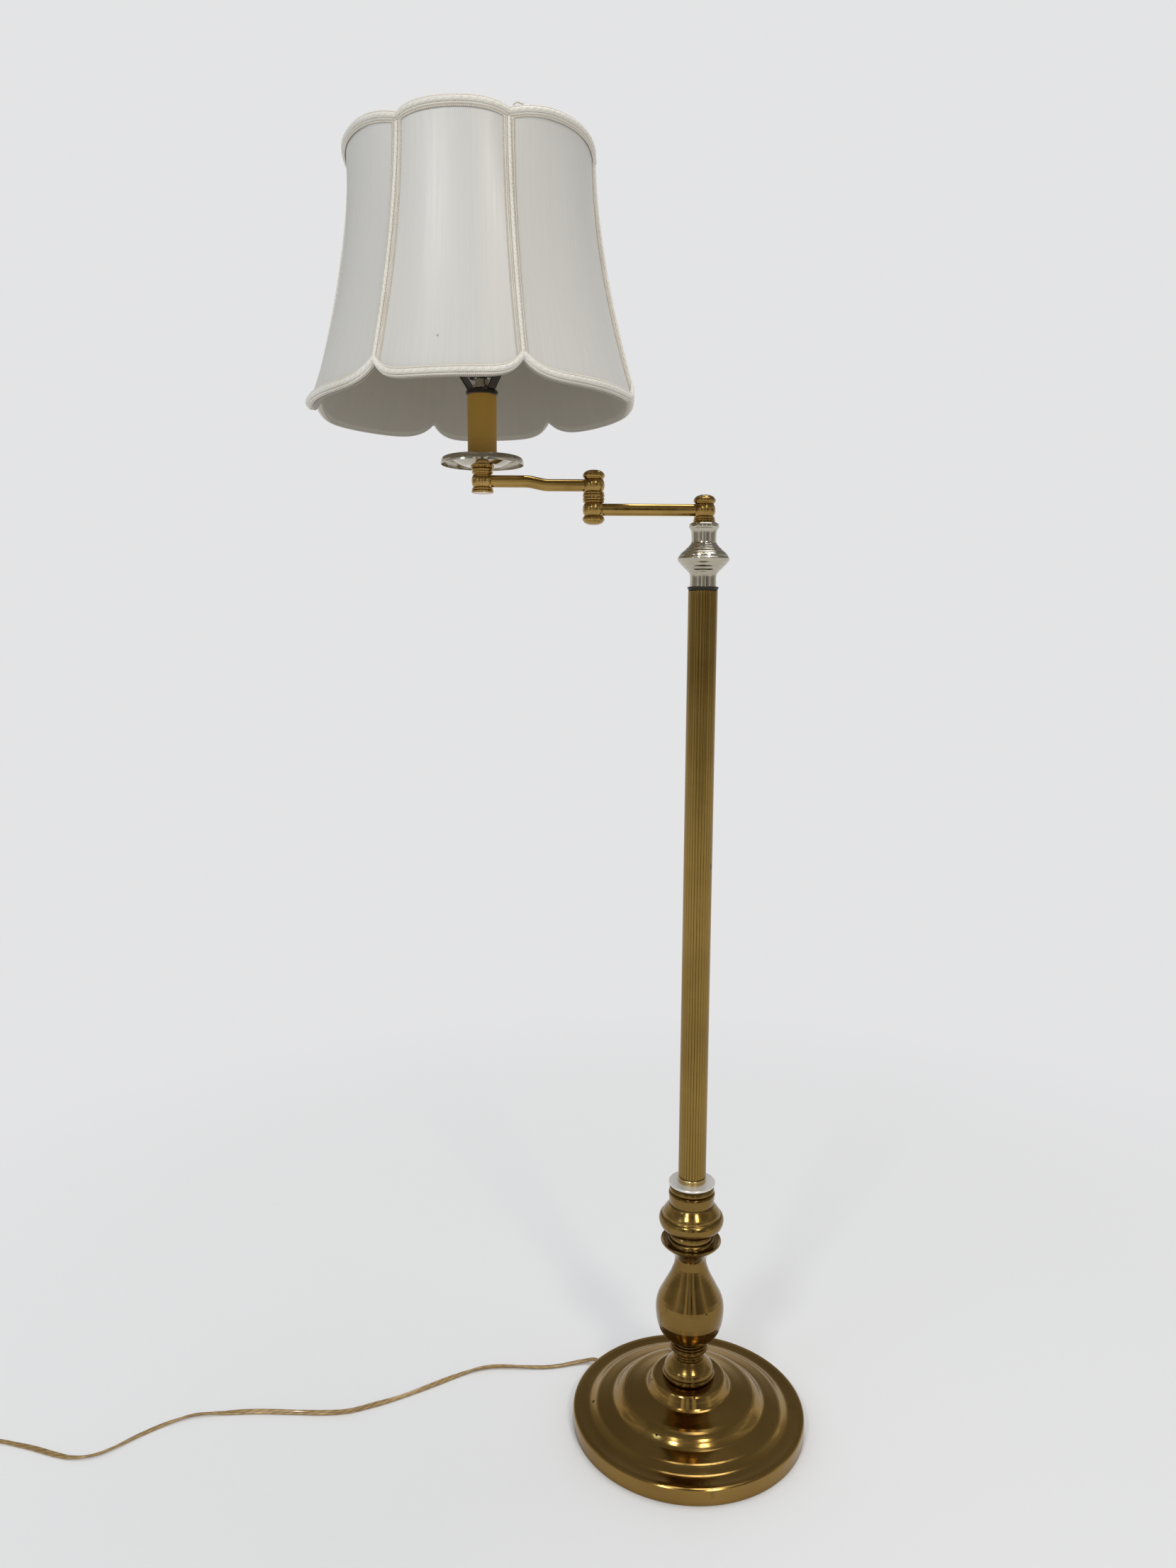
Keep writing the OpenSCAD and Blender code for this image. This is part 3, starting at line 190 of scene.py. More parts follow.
def wrapped(
    mesh: bmesh.types.BMesh,
    across: int,
    along: int,
    place: Place,
    size: Pair,
    outward: Optional[Callable[[Vector], Vector]] = None,
    caps: bool = False,
) -> None:
    """Lays a grid over a surface and adds it to a bmesh.

    Args:
        mesh: The bmesh that it goes into.
        across: Faces across the grid.
        along: Faces along the grid.
        place: Gives the point at a share across and a share along, each from 0 to 1.
        size: The real size across and along, for the pattern's map.
        outward: Gives the way a face at a point should look; a closed shape needs none.
        caps: Whether open ends are closed with a face.
    """
    layer = mesh.loops.layers.uv.get(UV_NAME) or mesh.loops.layers.uv.new(UV_NAME)
    made = bmesh.ops.create_grid(mesh, x_segments=across, y_segments=along, size=0.5)
    verts = made["verts"]
    faces = {face for vert in verts for face in vert.link_faces}
    for face in faces:
        for loop in face.loops:
            co = loop.vert.co
            loop[layer].uv = ((co.x + 0.5) * size[0], (co.y + 0.5) * size[1])
    for vert in verts:
        vert.co = place(vert.co.x + 0.5, vert.co.y + 0.5)
    bmesh.ops.remove_doubles(mesh, verts=verts, dist=1e-6)
    faces = [face for face in faces if face.is_valid]
    if caps:
        rims = [e for e in {e for f in faces for e in f.edges} if e.is_boundary]
        faces += bmesh.ops.holes_fill(mesh, edges=rims, sides=0)["faces"]
    bmesh.ops.recalc_face_normals(mesh, faces=faces)
    if outward is None:
        return
    lean = sum(f.normal.dot(outward(f.calc_center_median())) for f in faces)
    if lean < 0:
        bmesh.ops.reverse_faces(mesh, faces=faces)


@dataclass
class Track:
    """A line in space with a sideways direction at each point, for things swept along it."""

    points: list[Vector]
    sides: list[Vector]
    closed: bool = False
    heads: list[Vector] = field(init=False)
    run: list[float] = field(init=False)

    def __post_init__(self) -> None:
        """Works out the heading at each point and the distance run."""
        n = len(self.points)
        self.heads = []
        for i in range(n):
            if self.closed:
                a, b = self.points[(i - 1) % n], self.points[(i + 1) % n]
            else:
                a, b = self.points[max(i - 1, 0)], self.points[min(i + 1, n - 1)]
            self.heads.append((b - a).normalized())
        self.run = lengths(self.points + ([self.points[0]] if self.closed else []))

    @property
    def total(self) -> float:
        """The length of the line."""
        return self.run[-1]

    def at(self, i: int, side: float, lift: float) -> Vector:
        """Steps off the line at one of its points.

        Args:
            i: The point's number, which may run past the end of a closed line.
            side: How far to go to the side.
            lift: How far to go up.

        Returns:
            The place reached.
        """
        i %= len(self.points)
        head = self.heads[i]
        up = head.cross(self.sides[i]).normalized()
        return self.points[i] + up.cross(head) * side + up * lift


def sweep(
    mesh: bmesh.types.BMesh, track: Track, around: int, section: Section, girth: float
) -> None:
    """Sweeps a closed section along a track and adds it to a bmesh.

    Args:
        mesh: The bmesh that it goes into.
        track: The line that it follows.
        around: Faces round the section.
        section: Gives the sideways and upward place at a share round and a distance run.
        girth: The real distance round the section, for the pattern's map.
    """
    count = len(track.points) - (0 if track.closed else 1)

    def place(u: float, v: float) -> Vector:
        """Returns the section's point at a share round it and a share along the track."""
        i = round(v * count)
        return track.at(i, *section(u % 1.0, track.run[i]))

    wrapped(mesh, around, count, place, (girth, track.total), caps=not track.closed)


@dataclass(frozen=True)
class Twist:
    """A twisted rope or cord.

    Its depth is how far the grooves go in, as a share of the radius. Its girth is the real
    distance round it, and around is the number of faces round it.
    """

    radius: float
    strands: int
    pitch: float
    depth: float
    around: int
    girth: float
    roundness: float = 0.8

    def lay(self, mesh: bmesh.types.BMesh, track: Track) -> None:
        """Sweeps the rope along a track, and its twist meets itself on a closed one.

        Args:
            mesh: The bmesh that it goes into.
            track: The line that it follows.
        """
        pitch = self.pitch
        if track.closed:
            pitch = track.total / max(1, round(track.total / pitch))

        def section(u: float, run: float) -> Pair:
            """Gives the lobed outline, which turns with the distance run.

            Args:
                u: The share round the outline.
                run: The distance run along the track.

            Returns:
                The sideways and upward place.
            """
            angle = 2 * math.pi * u
            ridge = abs(math.cos(self.strands / 2 * (angle - 2 * math.pi * run / pitch)))
            r = self.radius * (1 - self.depth + self.depth * ridge**self.roundness)
            return r * math.cos(angle), r * math.sin(angle)

        sweep(mesh, track, self.around, section, self.girth)


def beads(mesh: bmesh.types.BMesh, points: Sequence[Vector], radius: float) -> None:
    """Adds a small bead at each point.

    Args:
        mesh: The bmesh that they go into.
        points: Their middles.
        radius: Their radius.
    """
    one = bmesh.new()
    bmesh.ops.create_uvsphere(one, u_segments=6, v_segments=4, radius=radius)
    bead = bpy.data.meshes.new("bead")
    here = Vector((0, 0, 0))
    for point in points:
        bmesh.ops.translate(one, verts=one.verts, vec=point - here)
        here = point
        one.to_mesh(bead)
        mesh.from_mesh(bead)
    one.free()
    bpy.data.meshes.remove(bead)


def thicken(thing: bpy.types.Object, thickness: float) -> None:
    """Gives a sheet its thickness, inwards from its outer face.

    Args:
        thing: The sheet.
        thickness: Its thickness.
    """
    wall = thing.modifiers.new("thickness", "SOLIDIFY")
    wall.thickness = thickness
    wall.offset = -1.0


# ---- Shader benches ----


def rgba(colour: Colour) -> tuple[float, float, float, float]:
    """Returns a colour with full alpha."""
    return (*colour, 1.0)


class Bench:
    """Lays out the nodes of one material or node group."""

    def __init__(self, tree: bpy.types.NodeTree) -> None:
        """Starts on an empty tree."""
        self.tree = tree
        tree.nodes.clear()

    def add(
        self, kind: str, sockets: Optional[dict] = None, **settings: object
    ) -> bpy.types.Node:
        """Adds a node.

        Args:
            kind: The node's type, without its ShaderNode prefix where it has one.
            sockets: Values or other nodes' sockets for its inputs, by name or index.
            **settings: The node's own settings.

        Returns:
            The new node.
        """
        full = kind if kind.startswith("NodeGroup") else f"ShaderNode{kind}"
        node = self.tree.nodes.new(full)
        for name, value in settings.items():
            setattr(node, name, value)
        for key, value in (sockets or {}).items():
            if isinstance(value, Socket):
                self.tree.links.new(value, node.inputs[key])
            else:
                node.inputs[key].default_value = value
        return node

    def math(self, operation: str, a: Input, b: Input = 0.0) -> Socket:
        """Returns the result of a Math node."""
        return self.add("Math", {0: a, 1: b}, operation=operation).outputs[0]

    def parts(self, vector: Socket) -> list[Socket]:
        """Returns the three numbers of a vector."""
        return list(self.add("SeparateXYZ", {0: vector}).outputs)

    def remap(self, value: Socket, low: Input, high: Input, to: Pair = (0.0, 1.0)) -> Socket:
        """Moves a value from one range to another and holds it there.

        Args:
            value: The value.
            low: Where the first range starts.
            high: Where the first range ends.
            to: The second range.

        Returns:
            The value in the second range.
        """
        sockets = {"Value": value, "From Min": low, "From Max": high}
        sockets.update({"To Min": to[0], "To Max": to[1]})
        return self.add("MapRange", sockets).outputs[0]

    def blend(self, factor: Input, a: Input, b: Input) -> Socket:
        """Returns a colour mixed from a to b."""
        return self.add("Mix", {0: factor, 6: a, 7: b}, data_type="RGBA").outputs[2]

    def stretched(self, vector: Socket, scale: Triple) -> Socket:
        """Returns coordinates scaled by axis."""
        return self.add("Mapping", {"Vector": vector, "Scale": scale}).outputs[0]

    def noise(self, vector: Socket, scale: Input, detail: float = 2.0) -> Socket:
        """Returns a Noise Texture's value."""
        sockets = {"Vector": vector, "Scale": scale, "Detail": detail}
        return self.add("TexNoise", sockets).outputs[0]

    def bump(
        self, height: Socket, distance: float, strength: float = 1.0, over: Optional[Socket] = None
    ) -> Socket:
        """Bends the normal by a height.

        Args:
            height: The height.
            distance: What a height of 1 stands for.
            strength: How much of it shows.
            over: A normal that is bent already, where there is one.

        Returns:
            The bent normal.
        """
        sockets = {"Height": height, "Distance": distance, "Strength": strength}
        if over is not None:
            sockets["Normal"] = over
        return self.add("Bump", sockets).outputs[0]


class Effects(Enum):
    """The surface effects that several finishes share, each one node group."""

    SPOTS = "age_spots"
    CLOUDS = "patina_clouds"
    TURNING = "turning_lines"
    HAIRLINES = "hairline_scratches"
    THREAD = "thread_twist"

    def group(self) -> bpy.types.NodeTree:
        """Finds the effect's node group.

        Returns:
            The group, which is built the first time that it is asked for.
        """
        made = bpy.data.node_groups.get(self.value)
        if made is None:
            made = bpy.data.node_groups.new(self.value, "ShaderNodeTree")
            getattr(EffectBuilder(made), self.name.lower())()
        return made

    def place(self, bench: Bench, **sockets: Input) -> Socket:
        """Puts the effect in a material.

        Args:
            bench: The bench of the material.
            **sockets: Values or sockets for the group's inputs.

        Returns:
            The group's output.
        """
        return bench.add("Group", sockets, node_tree=self.group()).outputs[0]


class EffectBuilder:
    """Builds the node groups of the shared effects."""

    def __init__(self, tree: bpy.types.NodeTree) -> None:
        """Starts on a new group."""
        self.tree = tree
        self.bench = Bench(tree)

    def sockets(
        self, numbers: dict[str, float], result: str
    ) -> tuple[dict[str, Socket], Callable[[Socket], None]]:
        """Gives the group its sockets.

        Args:
            numbers: The number inputs and their usual values, after the Vector input.
            result: The output's name.

        Returns:
            The inner input sockets by name, and a function that takes the result.
        """
        faces = self.tree.interface
        faces.new_socket("Vector", in_out="INPUT", socket_type="NodeSocketVector")
        for name, value in numbers.items():
            made = faces.new_socket(name, in_out="INPUT", socket_type="NodeSocketFloat")
            made.default_value = value
        faces.new_socket(result, in_out="OUTPUT", socket_type="NodeSocketFloat")
        inner = self.bench.add("NodeGroupInput")
        outer = self.bench.add("NodeGroupOutput")

        def give(socket: Socket) -> None:
            """Links the result to the group's output."""
            self.tree.links.new(socket, outer.inputs[0])

        return {s.name: s for s in inner.outputs if s.name}, give

    def spots(self) -> None:
        """Builds small dark pits of uneven size, with a few larger stains."""
        got, give = self.sockets({"Scale": 60.0, "Amount": 0.3}, "Mask")
        b = self.bench
        wobble = b.noise(got["Vector"], 180.0, 3.0)
        cells = b.add("TexVoronoi", {"Vector": got["Vector"], "Scale": got["Scale"]})
        chosen = b.add("SeparateColor", {0: cells.outputs["Color"]}).outputs[0]
        chosen = b.math("LESS_THAN", chosen, got["Amount"])
        reach = b.math("ADD", cells.outputs["Distance"], b.math("MULTIPLY", wobble, 0.16))
        pit = b.remap(reach, 0.175, 0.125)
        stain = b.noise(got["Vector"], b.math("MULTIPLY", got["Scale"], 0.6), 6.0)
        stain = b.remap(stain, 0.68, 0.78, (0.0, 0.6))
        give(b.math("MAXIMUM", b.math("MULTIPLY", pit, chosen), stain))

    def clouds(self) -> None:
        """Builds broad soft patches of duller metal or cloth."""
        got, give = self.sockets({"Scale": 9.0, "Contrast": 0.3}, "Value")
        b = self.bench
        broad = b.noise(got["Vector"], got["Scale"], 5.0)
        low = b.math("SUBTRACT", 0.5, got["Contrast"])
        high = b.math("ADD", 0.5, got["Contrast"])
        give(b.remap(broad, low, high))

    def turning(self) -> None:
        """Builds fine rings left by the lathe, round the upright axis."""
        got, give = self.sockets({"Scale": 900.0, "Wander": 0.002}, "Height")
        b = self.bench
        x, y, z = b.parts(got["Vector"])
        squares = b.math("ADD", b.math("MULTIPLY", x, x), b.math("MULTIPLY", y, y))
        reach = b.math("ADD", b.math("SQRT", squares), z)
        drift = b.math("MULTIPLY", b.noise(got["Vector"], 14.0, 1.0), got["Wander"])
        at = b.math("MULTIPLY", b.math("ADD", reach, drift), got["Scale"])
        lines = b.add("TexNoise", {"W": at, "Scale": 1.0, "Detail": 2.0}, noise_dimensions="1D")
        give(lines.outputs[0])

    def hairlines(self) -> None:
        """Builds sparse thin scratches along the vector's Z axis."""
        got, give = self.sockets({"Scale": 240.0, "Amount": 0.4}, "Mask")
        b = self.bench
        thin = b.stretched(got["Vector"], (1.0, 1.0, 0.06))
        lines = b.noise(thin, got["Scale"], 3.0)
        edge = b.math("SUBTRACT", 0.78, b.math("MULTIPLY", got["Amount"], 0.2))
        give(b.remap(b.math("SUBTRACT", lines, edge), 0.0, 0.05))

    def thread(self) -> None:
        """Builds the slanting fibres of twisted thread, from a map in metres."""
        got, give = self.sockets({"Fibres": 900.0, "Slant": 700.0}, "Height")
        b = self.bench
        across, along, _ = b.parts(got["Vector"])
        wobble = b.math("MULTIPLY", b.noise(got["Vector"], 800.0, 2.0), 5.0)
        turn = b.math("MULTIPLY", across, got["Fibres"])
        climb = b.math("MULTIPLY", along, got["Slant"])
        wave = b.math("SINE", b.math("ADD", b.math("ADD", turn, climb), wobble))
        give(b.math("ADD", b.math("MULTIPLY", wave, 0.5), 0.5))


class Finish:
    """A named surface finish that makes one material and gives it to pieces."""

    name: str

    def build(self, bench: Bench) -> bpy.types.Node:
        """Lays out the nodes and returns the shader."""
        raise NotImplementedError

    def material(self) -> bpy.types.Material:
        """Finds the finish's material.

        Returns:
            The material, which is built the first time that it is asked for.
        """
        made = bpy.data.materials.get(self.name)
        if made is None:
            made = bpy.data.materials.new(self.name)
            made.use_nodes = True
            bench = Bench(made.node_tree)
            shader = self.build(bench)
            bench.add("OutputMaterial", {"Surface": shader.outputs[0]})
        return made

    def dress(self, thing: bpy.types.Object) -> None:
        """Puts the finish in all of an object's material slots.

        Args:
            thing: The object.
        """
        slots = thing.data.materials
        made = self.material()
        if not slots:
            slots.append(made)
        for i in range(len(slots)):
            slots[i] = made


@dataclass(frozen=True)
class Metal(Finish):
    """Plated or solid metal that has been handled and has aged."""

    name: str
    bright: Colour
    dull: Colour
    # The colour of pits, and also of the darkened joins and reed gaps, which are partly grime and
    # partly painted shade.
    pit: Colour = (0.03, 0.02, 0.01)
    roughness: float = 0.2
    haze: float = 0.12
    spot_scale: float = 60.0
    spots: float = 0.0
    cloud_scale: float = 9.0
    turned: float = 0.0
    scratches: float = 0.25
    metallic: float = 1.0
    # Joins and reeds say where the metal is darkened, partly grime and partly painted shade.
    joins: tuple[float, ...] = ()
    join_width: float = 1.6 * MM
    spot_stretch: Triple = (1.0, 1.0, 1.0)
    ridge_zone: Optional[Pair] = None
    ridge_pitch: float = 3.6 * MM
    ridge_depth: float = 0.22 * MM
    reeds: float = 0.0
    relief: float = 0.04 * MM

    def ridges(self, bench: Bench, at: Socket) -> Socket:
        """Lays out the soft turned ridges between two heights.

        Args:
            bench: The material's bench.
            at: The coordinates.

        Returns:
            The height.
        """
        low, high = self.ridge_zone
        z = bench.parts(at)[2]
        wave = bench.math("COSINE", bench.math("MULTIPLY", z, 2 * math.pi / self.ridge_pitch))
        rise = bench.remap(z, low, low + self.ridge_pitch)
        fall = bench.remap(z, high, high - self.ridge_pitch)
        return bench.math("MULTIPLY", wave, bench.math("MULTIPLY", rise, fall))

    def crevice_grime_and_shade(self, bench: Bench, at: Socket) -> Socket:
        """Lays out the darkening at joins and between reeds, partly grime that settles there and
        partly painted shade.

        Args:
            bench: The material's bench.
            at: The coordinates.

        Returns:
            The mask.
        """
        height = bench.parts(at)[2]
        wander = bench.noise(at, 120.0, 2.0)
        mask: Input = 0.0
        for join in self.joins:
            off = bench.math("ABSOLUTE", bench.math("SUBTRACT", height, join))
            near = bench.remap(off, self.join_width, 0.2 * self.join_width)
            mask = bench.math("MAXIMUM", mask, near)
        if self.reeds:
            run = bench.add("UVMap", uv_map=UV_NAME).outputs[0]
            across = bench.parts(run)[0]
            share = bench.math("FRACT", bench.math("MULTIPLY", across, self.reeds))
            side = bench.math("ABSOLUTE", bench.math("SUBTRACT", share, 0.5))
            mask = bench.math("MAXIMUM", mask, bench.remap(side, 0.40, 0.49))
        return bench.math("MULTIPLY", mask, bench.remap(wander, 0.25, 0.6, (0.45, 1.0)))

    def build(self, bench: Bench) -> bpy.types.Node:
        """Lays out clouds of tarnish, pits, lathe rings, hairline scratches, and darkened joins and
        reed gaps that are partly grime and partly painted shade.

        Args:
            bench: The material's bench.

        Returns:
            The shader.
        """
        at = bench.add("TexCoord").outputs["Object"]
        clouds = Effects.CLOUDS.place(bench, Vector=at, Scale=self.cloud_scale, Contrast=0.22)
        colour = bench.blend(clouds, rgba(self.dull), rgba(self.bright))
        lines = Effects.HAIRLINES.place(bench, Vector=at, Scale=260.0, Amount=self.scratches)
        grime = bench.noise(at, self.cloud_scale * 6.0, 4.0)
        rough = bench.remap(grime, 0.3, 0.75, (self.roughness, self.roughness + self.haze))
        rough = bench.math("ADD", rough, bench.math("MULTIPLY", lines, 0.12))
        height = bench.math("MULTIPLY", grime, 0.15)
        if self.turned:
            rings = Effects.TURNING.place(bench, Vector=at, Scale=900.0, Wander=0.002)
            height = bench.math("ADD", height, bench.math("MULTIPLY", rings, self.turned))
        if self.spots:
            pits = bench.stretched(at, self.spot_stretch)
            spots = Effects.SPOTS.place(
                bench, Vector=pits, Scale=self.spot_scale, Amount=self.spots
            )
            colour = bench.blend(spots, colour, rgba(self.pit))
            rough = bench.math("ADD", rough, bench.math("MULTIPLY", spots, 0.35))
            height = bench.math("SUBTRACT", height, bench.math("MULTIPLY", spots, 0.8))
        # Painted shade, partly grime: the joins and the gaps between reeds are darkened.
        if self.joins or self.reeds:
            grime = self.crevice_grime_and_shade(bench, at)
            colour = bench.blend(bench.math("MULTIPLY", grime, 0.8), colour, rgba(self.pit))
            rough = bench.math("ADD", rough, bench.math("MULTIPLY", grime, 0.3))
        normal = bench.bump(height, self.relief)
        if self.ridge_zone:
            normal = bench.bump(self.ridges(bench, at), self.ridge_depth, over=normal)
        return bench.add(
            "BsdfPrincipled",
            {
                "Base Color": colour,
                "Metallic": self.metallic,
                "Roughness": rough,
                "Normal": normal,
            },
        )


@dataclass(frozen=True)
class Coated(Finish):
    """Paint, moulded plastic, card or glass: one coloured skin with a little life."""

    name: str
    base: Colour
    shade: Colour
    roughness: float = 0.4
    coat: float = 0.0
    grain: float = 60.0
    relief: float = 0.05 * MM
    stretch: Triple = (1.0, 1.0, 1.0)
    sheen: float = 0.0
    specular: float = 0.5

    def build(self, bench: Bench) -> bpy.types.Node:
        """Lays out a mottled colour, uneven gloss and a fine relief.

        Args:
            bench: The material's bench.

        Returns:
            The shader.
        """
        at = bench.stretched(bench.add("TexCoord").outputs["Object"], self.stretch)
        clouds = Effects.CLOUDS.place(bench, Vector=at, Scale=self.grain, Contrast=0.25)
        fine = bench.noise(at, self.grain * 12.0, 3.0)
        rough = bench.remap(clouds, 0.0, 1.0, (self.roughness, self.roughness + 0.15))
        return bench.add(
            "BsdfPrincipled",
            {
                "Base Color": bench.blend(clouds, rgba(self.base), rgba(self.shade)),
                "Roughness": rough,
                "Coat Weight": self.coat,
                "Coat Roughness": 0.15,
                "Sheen Weight": self.sheen,
                "Specular IOR Level": self.specular,
                "Normal": bench.bump(fine, self.relief),
            },
        )


@dataclass(frozen=True)
class Silk(Finish):
    """Slubbed silk cloth, with its threads running down the panel."""

    name: str
    base: Colour
    thin: Colour
    warp: float = 2600.0
    slub: float = 760.0
    roughness: float = 0.36
    sheen: float = 0.25
    flecks: float = 0.03
    stain: Optional[Pair] = None
    fleck_brown: Colour = (0.32, 0.22, 0.12)
    stain_brown: Colour = (0.30, 0.18, 0.07)
    stain_r: float = 1.3 * MM
    relief: float = 0.05 * MM

    def build(self, bench: Bench) -> bpy.types.Node:
        """Lays out fine down threads, uneven slubs, a cross weave and a few flecks.

        Args:
            bench: The material's bench.

        Returns:
            The shader.
        """
        at = bench.add("UVMap", uv_map=UV_NAME).outputs[0]
        threads = bench.noise(bench.stretched(at, (self.warp, 60.0, 1.0)), 1.0, 2.0)
        slubs = bench.noise(bench.stretched(at, (self.slub, 7.0, 1.0)), 1.0, 3.0)
        cross = bench.noise(bench.stretched(at, (150.0, 2300.0, 1.0)), 1.0, 1.0)
        streak = bench.remap(slubs, 0.40, 0.80)
        tone = bench.math("MULTIPLY", bench.math("ADD", threads, streak), 0.5)
        colour = bench.blend(tone, rgba(self.base), rgba(self.thin))
        if self.flecks:
            flecks = Effects.SPOTS.place(bench, Vector=at, Scale=30.0, Amount=self.flecks)
            flecks = bench.math("MULTIPLY", flecks, 0.22)
            colour = bench.blend(flecks, colour, rgba(self.fleck_brown))
        if self.stain:
            off = bench.add("VectorMath", {0: at, 1: (*self.stain, 0.0)}, operation="DISTANCE")
            dot = bench.remap(off.outputs["Value"], self.stain_r, 0.5 * MM, (0.0, 0.75))
            colour = bench.blend(dot, colour, rgba(self.stain_brown))
        down, over = bench.math("MULTIPLY", threads, 0.5), bench.math("MULTIPLY", cross, 0.35)
        height = bench.math("ADD", down, over)
        height = bench.math("ADD", height, bench.math("MULTIPLY", slubs, 0.9))
        return bench.add(
            "BsdfPrincipled",
            {
                "Base Color": colour,
                "Roughness": bench.remap(tone, 0.2, 0.9, (self.roughness, self.roughness + 0.14)),
                "Specular IOR Level": 0.6,
                "Sheen Weight": self.sheen,
                "Sheen Roughness": 0.35,
                "Normal": bench.bump(height, self.relief, 0.6),
            },
        )


@dataclass(frozen=True)
class Thread(Finish):
    """Wound and twisted rayon thread of trim, from its map along and round."""

    name: str
    base: Colour
    # The groove colour is painted shade between the fibres, and also the colour of the soiling.
    groove: Colour
    fibres: float = 2200.0
    slant: float = 900.0
    roughness: float = 0.5
    relief: float = 0.12 * MM

    def build(self, bench: Bench) -> bpy.types.Node:
        """Lays out slanting fibres, with painted shade in the grooves between them, and soft soiling.

        Args:
            bench: The material's bench.

        Returns:
            The shader.
        """
        at = bench.add("UVMap", uv_map=UV_NAME).outputs[0]
        place = bench.add("TexCoord").outputs["Object"]
        fibres = Effects.THREAD.place(bench, Vector=at, Fibres=self.fibres, Slant=self.slant)
        soil = Effects.CLOUDS.place(bench, Vector=place, Scale=30.0, Contrast=0.25)
        # Painted shade in the fibre grooves, mixed with real soiling.
        tone = bench.math("MULTIPLY", bench.math("ADD", fibres, soil), 0.4)
        return bench.add(
            "BsdfPrincipled",
            {
                "Base Color": bench.blend(tone, rgba(self.base), rgba(self.groove)),
                "Roughness": self.roughness,
                "Sheen Weight": 0.3,
                "Normal": bench.bump(fibres, self.relief),
            },
        )


@dataclass(frozen=True)
class ClearCord(Finish):
    """Clear gold insulation over twisted copper strands."""

    name: str = "clear_gold_cord"
    copper: Colour = (0.50, 0.34, 0.13)
    gap: Colour = (0.22, 0.125, 0.04)
    relief: float = 0.06 * MM

    def build(self, bench: Bench) -> bpy.types.Node:
        """Lays out the strands under the clear skin, with handling marks.

        Args:
            bench: The material's bench.

        Returns:
            The shader.
        """
        at = bench.add("UVMap", uv_map=UV_NAME).outputs[0]
        place = bench.add("TexCoord").outputs["Object"]
        strands = Effects.THREAD.place(bench, Vector=at, Fibres=1400.0, Slant=520.0)
        dirt = Effects.CLOUDS.place(bench, Vector=place, Scale=40.0, Contrast=0.25)
        tone = bench.math("MULTIPLY", bench.math("ADD", strands, dirt), 0.5)
        return bench.add(
            "BsdfPrincipled",
            {
                "Base Color": bench.blend(tone, rgba(self.copper), rgba(self.gap)),
                "Metallic": 0.35,
                "Roughness": bench.remap(dirt, 0.0, 1.0, (0.28, 0.42)),
                "Coat Weight": 0.7,
                "Coat Roughness": 0.12,
                "Normal": bench.bump(strands, self.relief),
            },
        )


@dataclass(frozen=True)
class FrostedGlass(Finish):
    """White bulb glass: frosted inside, smooth outside."""

    name: str = "frosted_bulb_glass"
    base: Colour = (0.86, 0.85, 0.82)
    cloudy: Colour = (0.78, 0.78, 0.76)
    depth: float = 4.0 * MM

    def build(self, bench: Bench) -> bpy.types.Node:
        """Lays out a milky skin with a faint unevenness.

        Args:
            bench: The material's bench.

        Returns:
            The shader.
        """
        at = bench.add("TexCoord").outputs["Object"]
        milk = bench.noise(at, 45.0, 3.0)
        colour = bench.blend(bench.remap(milk, 0.35, 0.7), rgba(self.base), rgba(self.cloudy))
        return bench.add(
            "BsdfPrincipled",
            {
                "Base Color": colour,
                "Roughness": bench.remap(milk, 0.3, 0.7, (0.18, 0.3)),
                "Coat Weight": 0.8,
                "Coat Roughness": 0.03,
                "Subsurface Weight": 0.2,
                "Subsurface Radius": (self.depth, self.depth, self.depth),
            },
        )


BASE_BRASS = Metal(
    "aged_base_brass", (0.34, 0.212, 0.062), (0.23, 0.138, 0.038),
    roughness=0.11, haze=0.09, spots=0.34, spot_scale=45.0, turned=0.45, cloud_scale=7.0,
)
STEM_BRASS = Metal(
    "aged_stem_brass", (0.27, 0.168, 0.048), (0.165, 0.098, 0.028),
    roughness=0.12, haze=0.11, spots=0.25, spot_scale=75.0, turned=0.5, cloud_scale=14.0,
)
COLUMN_BRASS = Metal(
    "reeded_column_brass", (0.345, 0.222, 0.06), (0.19, 0.118, 0.03),
    roughness=0.09, haze=0.1, spots=0.06, spot_scale=75.0, spot_stretch=(1.0, 1.0, 0.3),
    cloud_scale=6.0, scratches=0.6,
)
GOLD_RING = Metal("gold_ring", (0.60, 0.45, 0.20), (0.46, 0.33, 0.14), roughness=0.14)
ARM_BRASS = Metal(
    "polished_arm_brass", (0.45, 0.29, 0.09), (0.29, 0.175, 0.05),
    roughness=0.08, haze=0.09, spots=0.04, spot_scale=200.0, turned=0.25, cloud_scale=30.0,
)
NICKEL = Metal(
    "polished_nickel", (0.55, 0.51, 0.42), (0.43, 0.39, 0.305), (0.12, 0.10, 0.07),
    roughness=0.07, haze=0.08, spots=0.02, spot_scale=140.0, turned=0.25, cloud_scale=12.0,
)
SATIN_NICKEL = Metal(
    "satin_nickel", (0.82, 0.81, 0.78), (0.72, 0.70, 0.66), (0.12, 0.10, 0.07),
    roughness=0.28, spots=0.05, spot_scale=140.0, metallic=0.45,
)
RAW_BRASS = Metal(
    "plain_harp_brass", (0.58, 0.42, 0.19), (0.40, 0.28, 0.12),
    roughness=0.28, haze=0.15, spots=0.05, spot_scale=220.0, cloud_scale=25.0,
)
BRONZE = Metal(
    "dark_bronze", (0.05, 0.038, 0.026), (0.022, 0.017, 0.012), (0.16, 0.10, 0.045),
    roughness=0.3, haze=0.2, spots=0.05, spot_scale=160.0, cloud_scale=30.0, metallic=0.7,
)
BLACK_RING = Coated(
    "black_lacquer", (0.012, 0.011, 0.008), (0.03, 0.024, 0.014), 0.3, specular=0.25
)
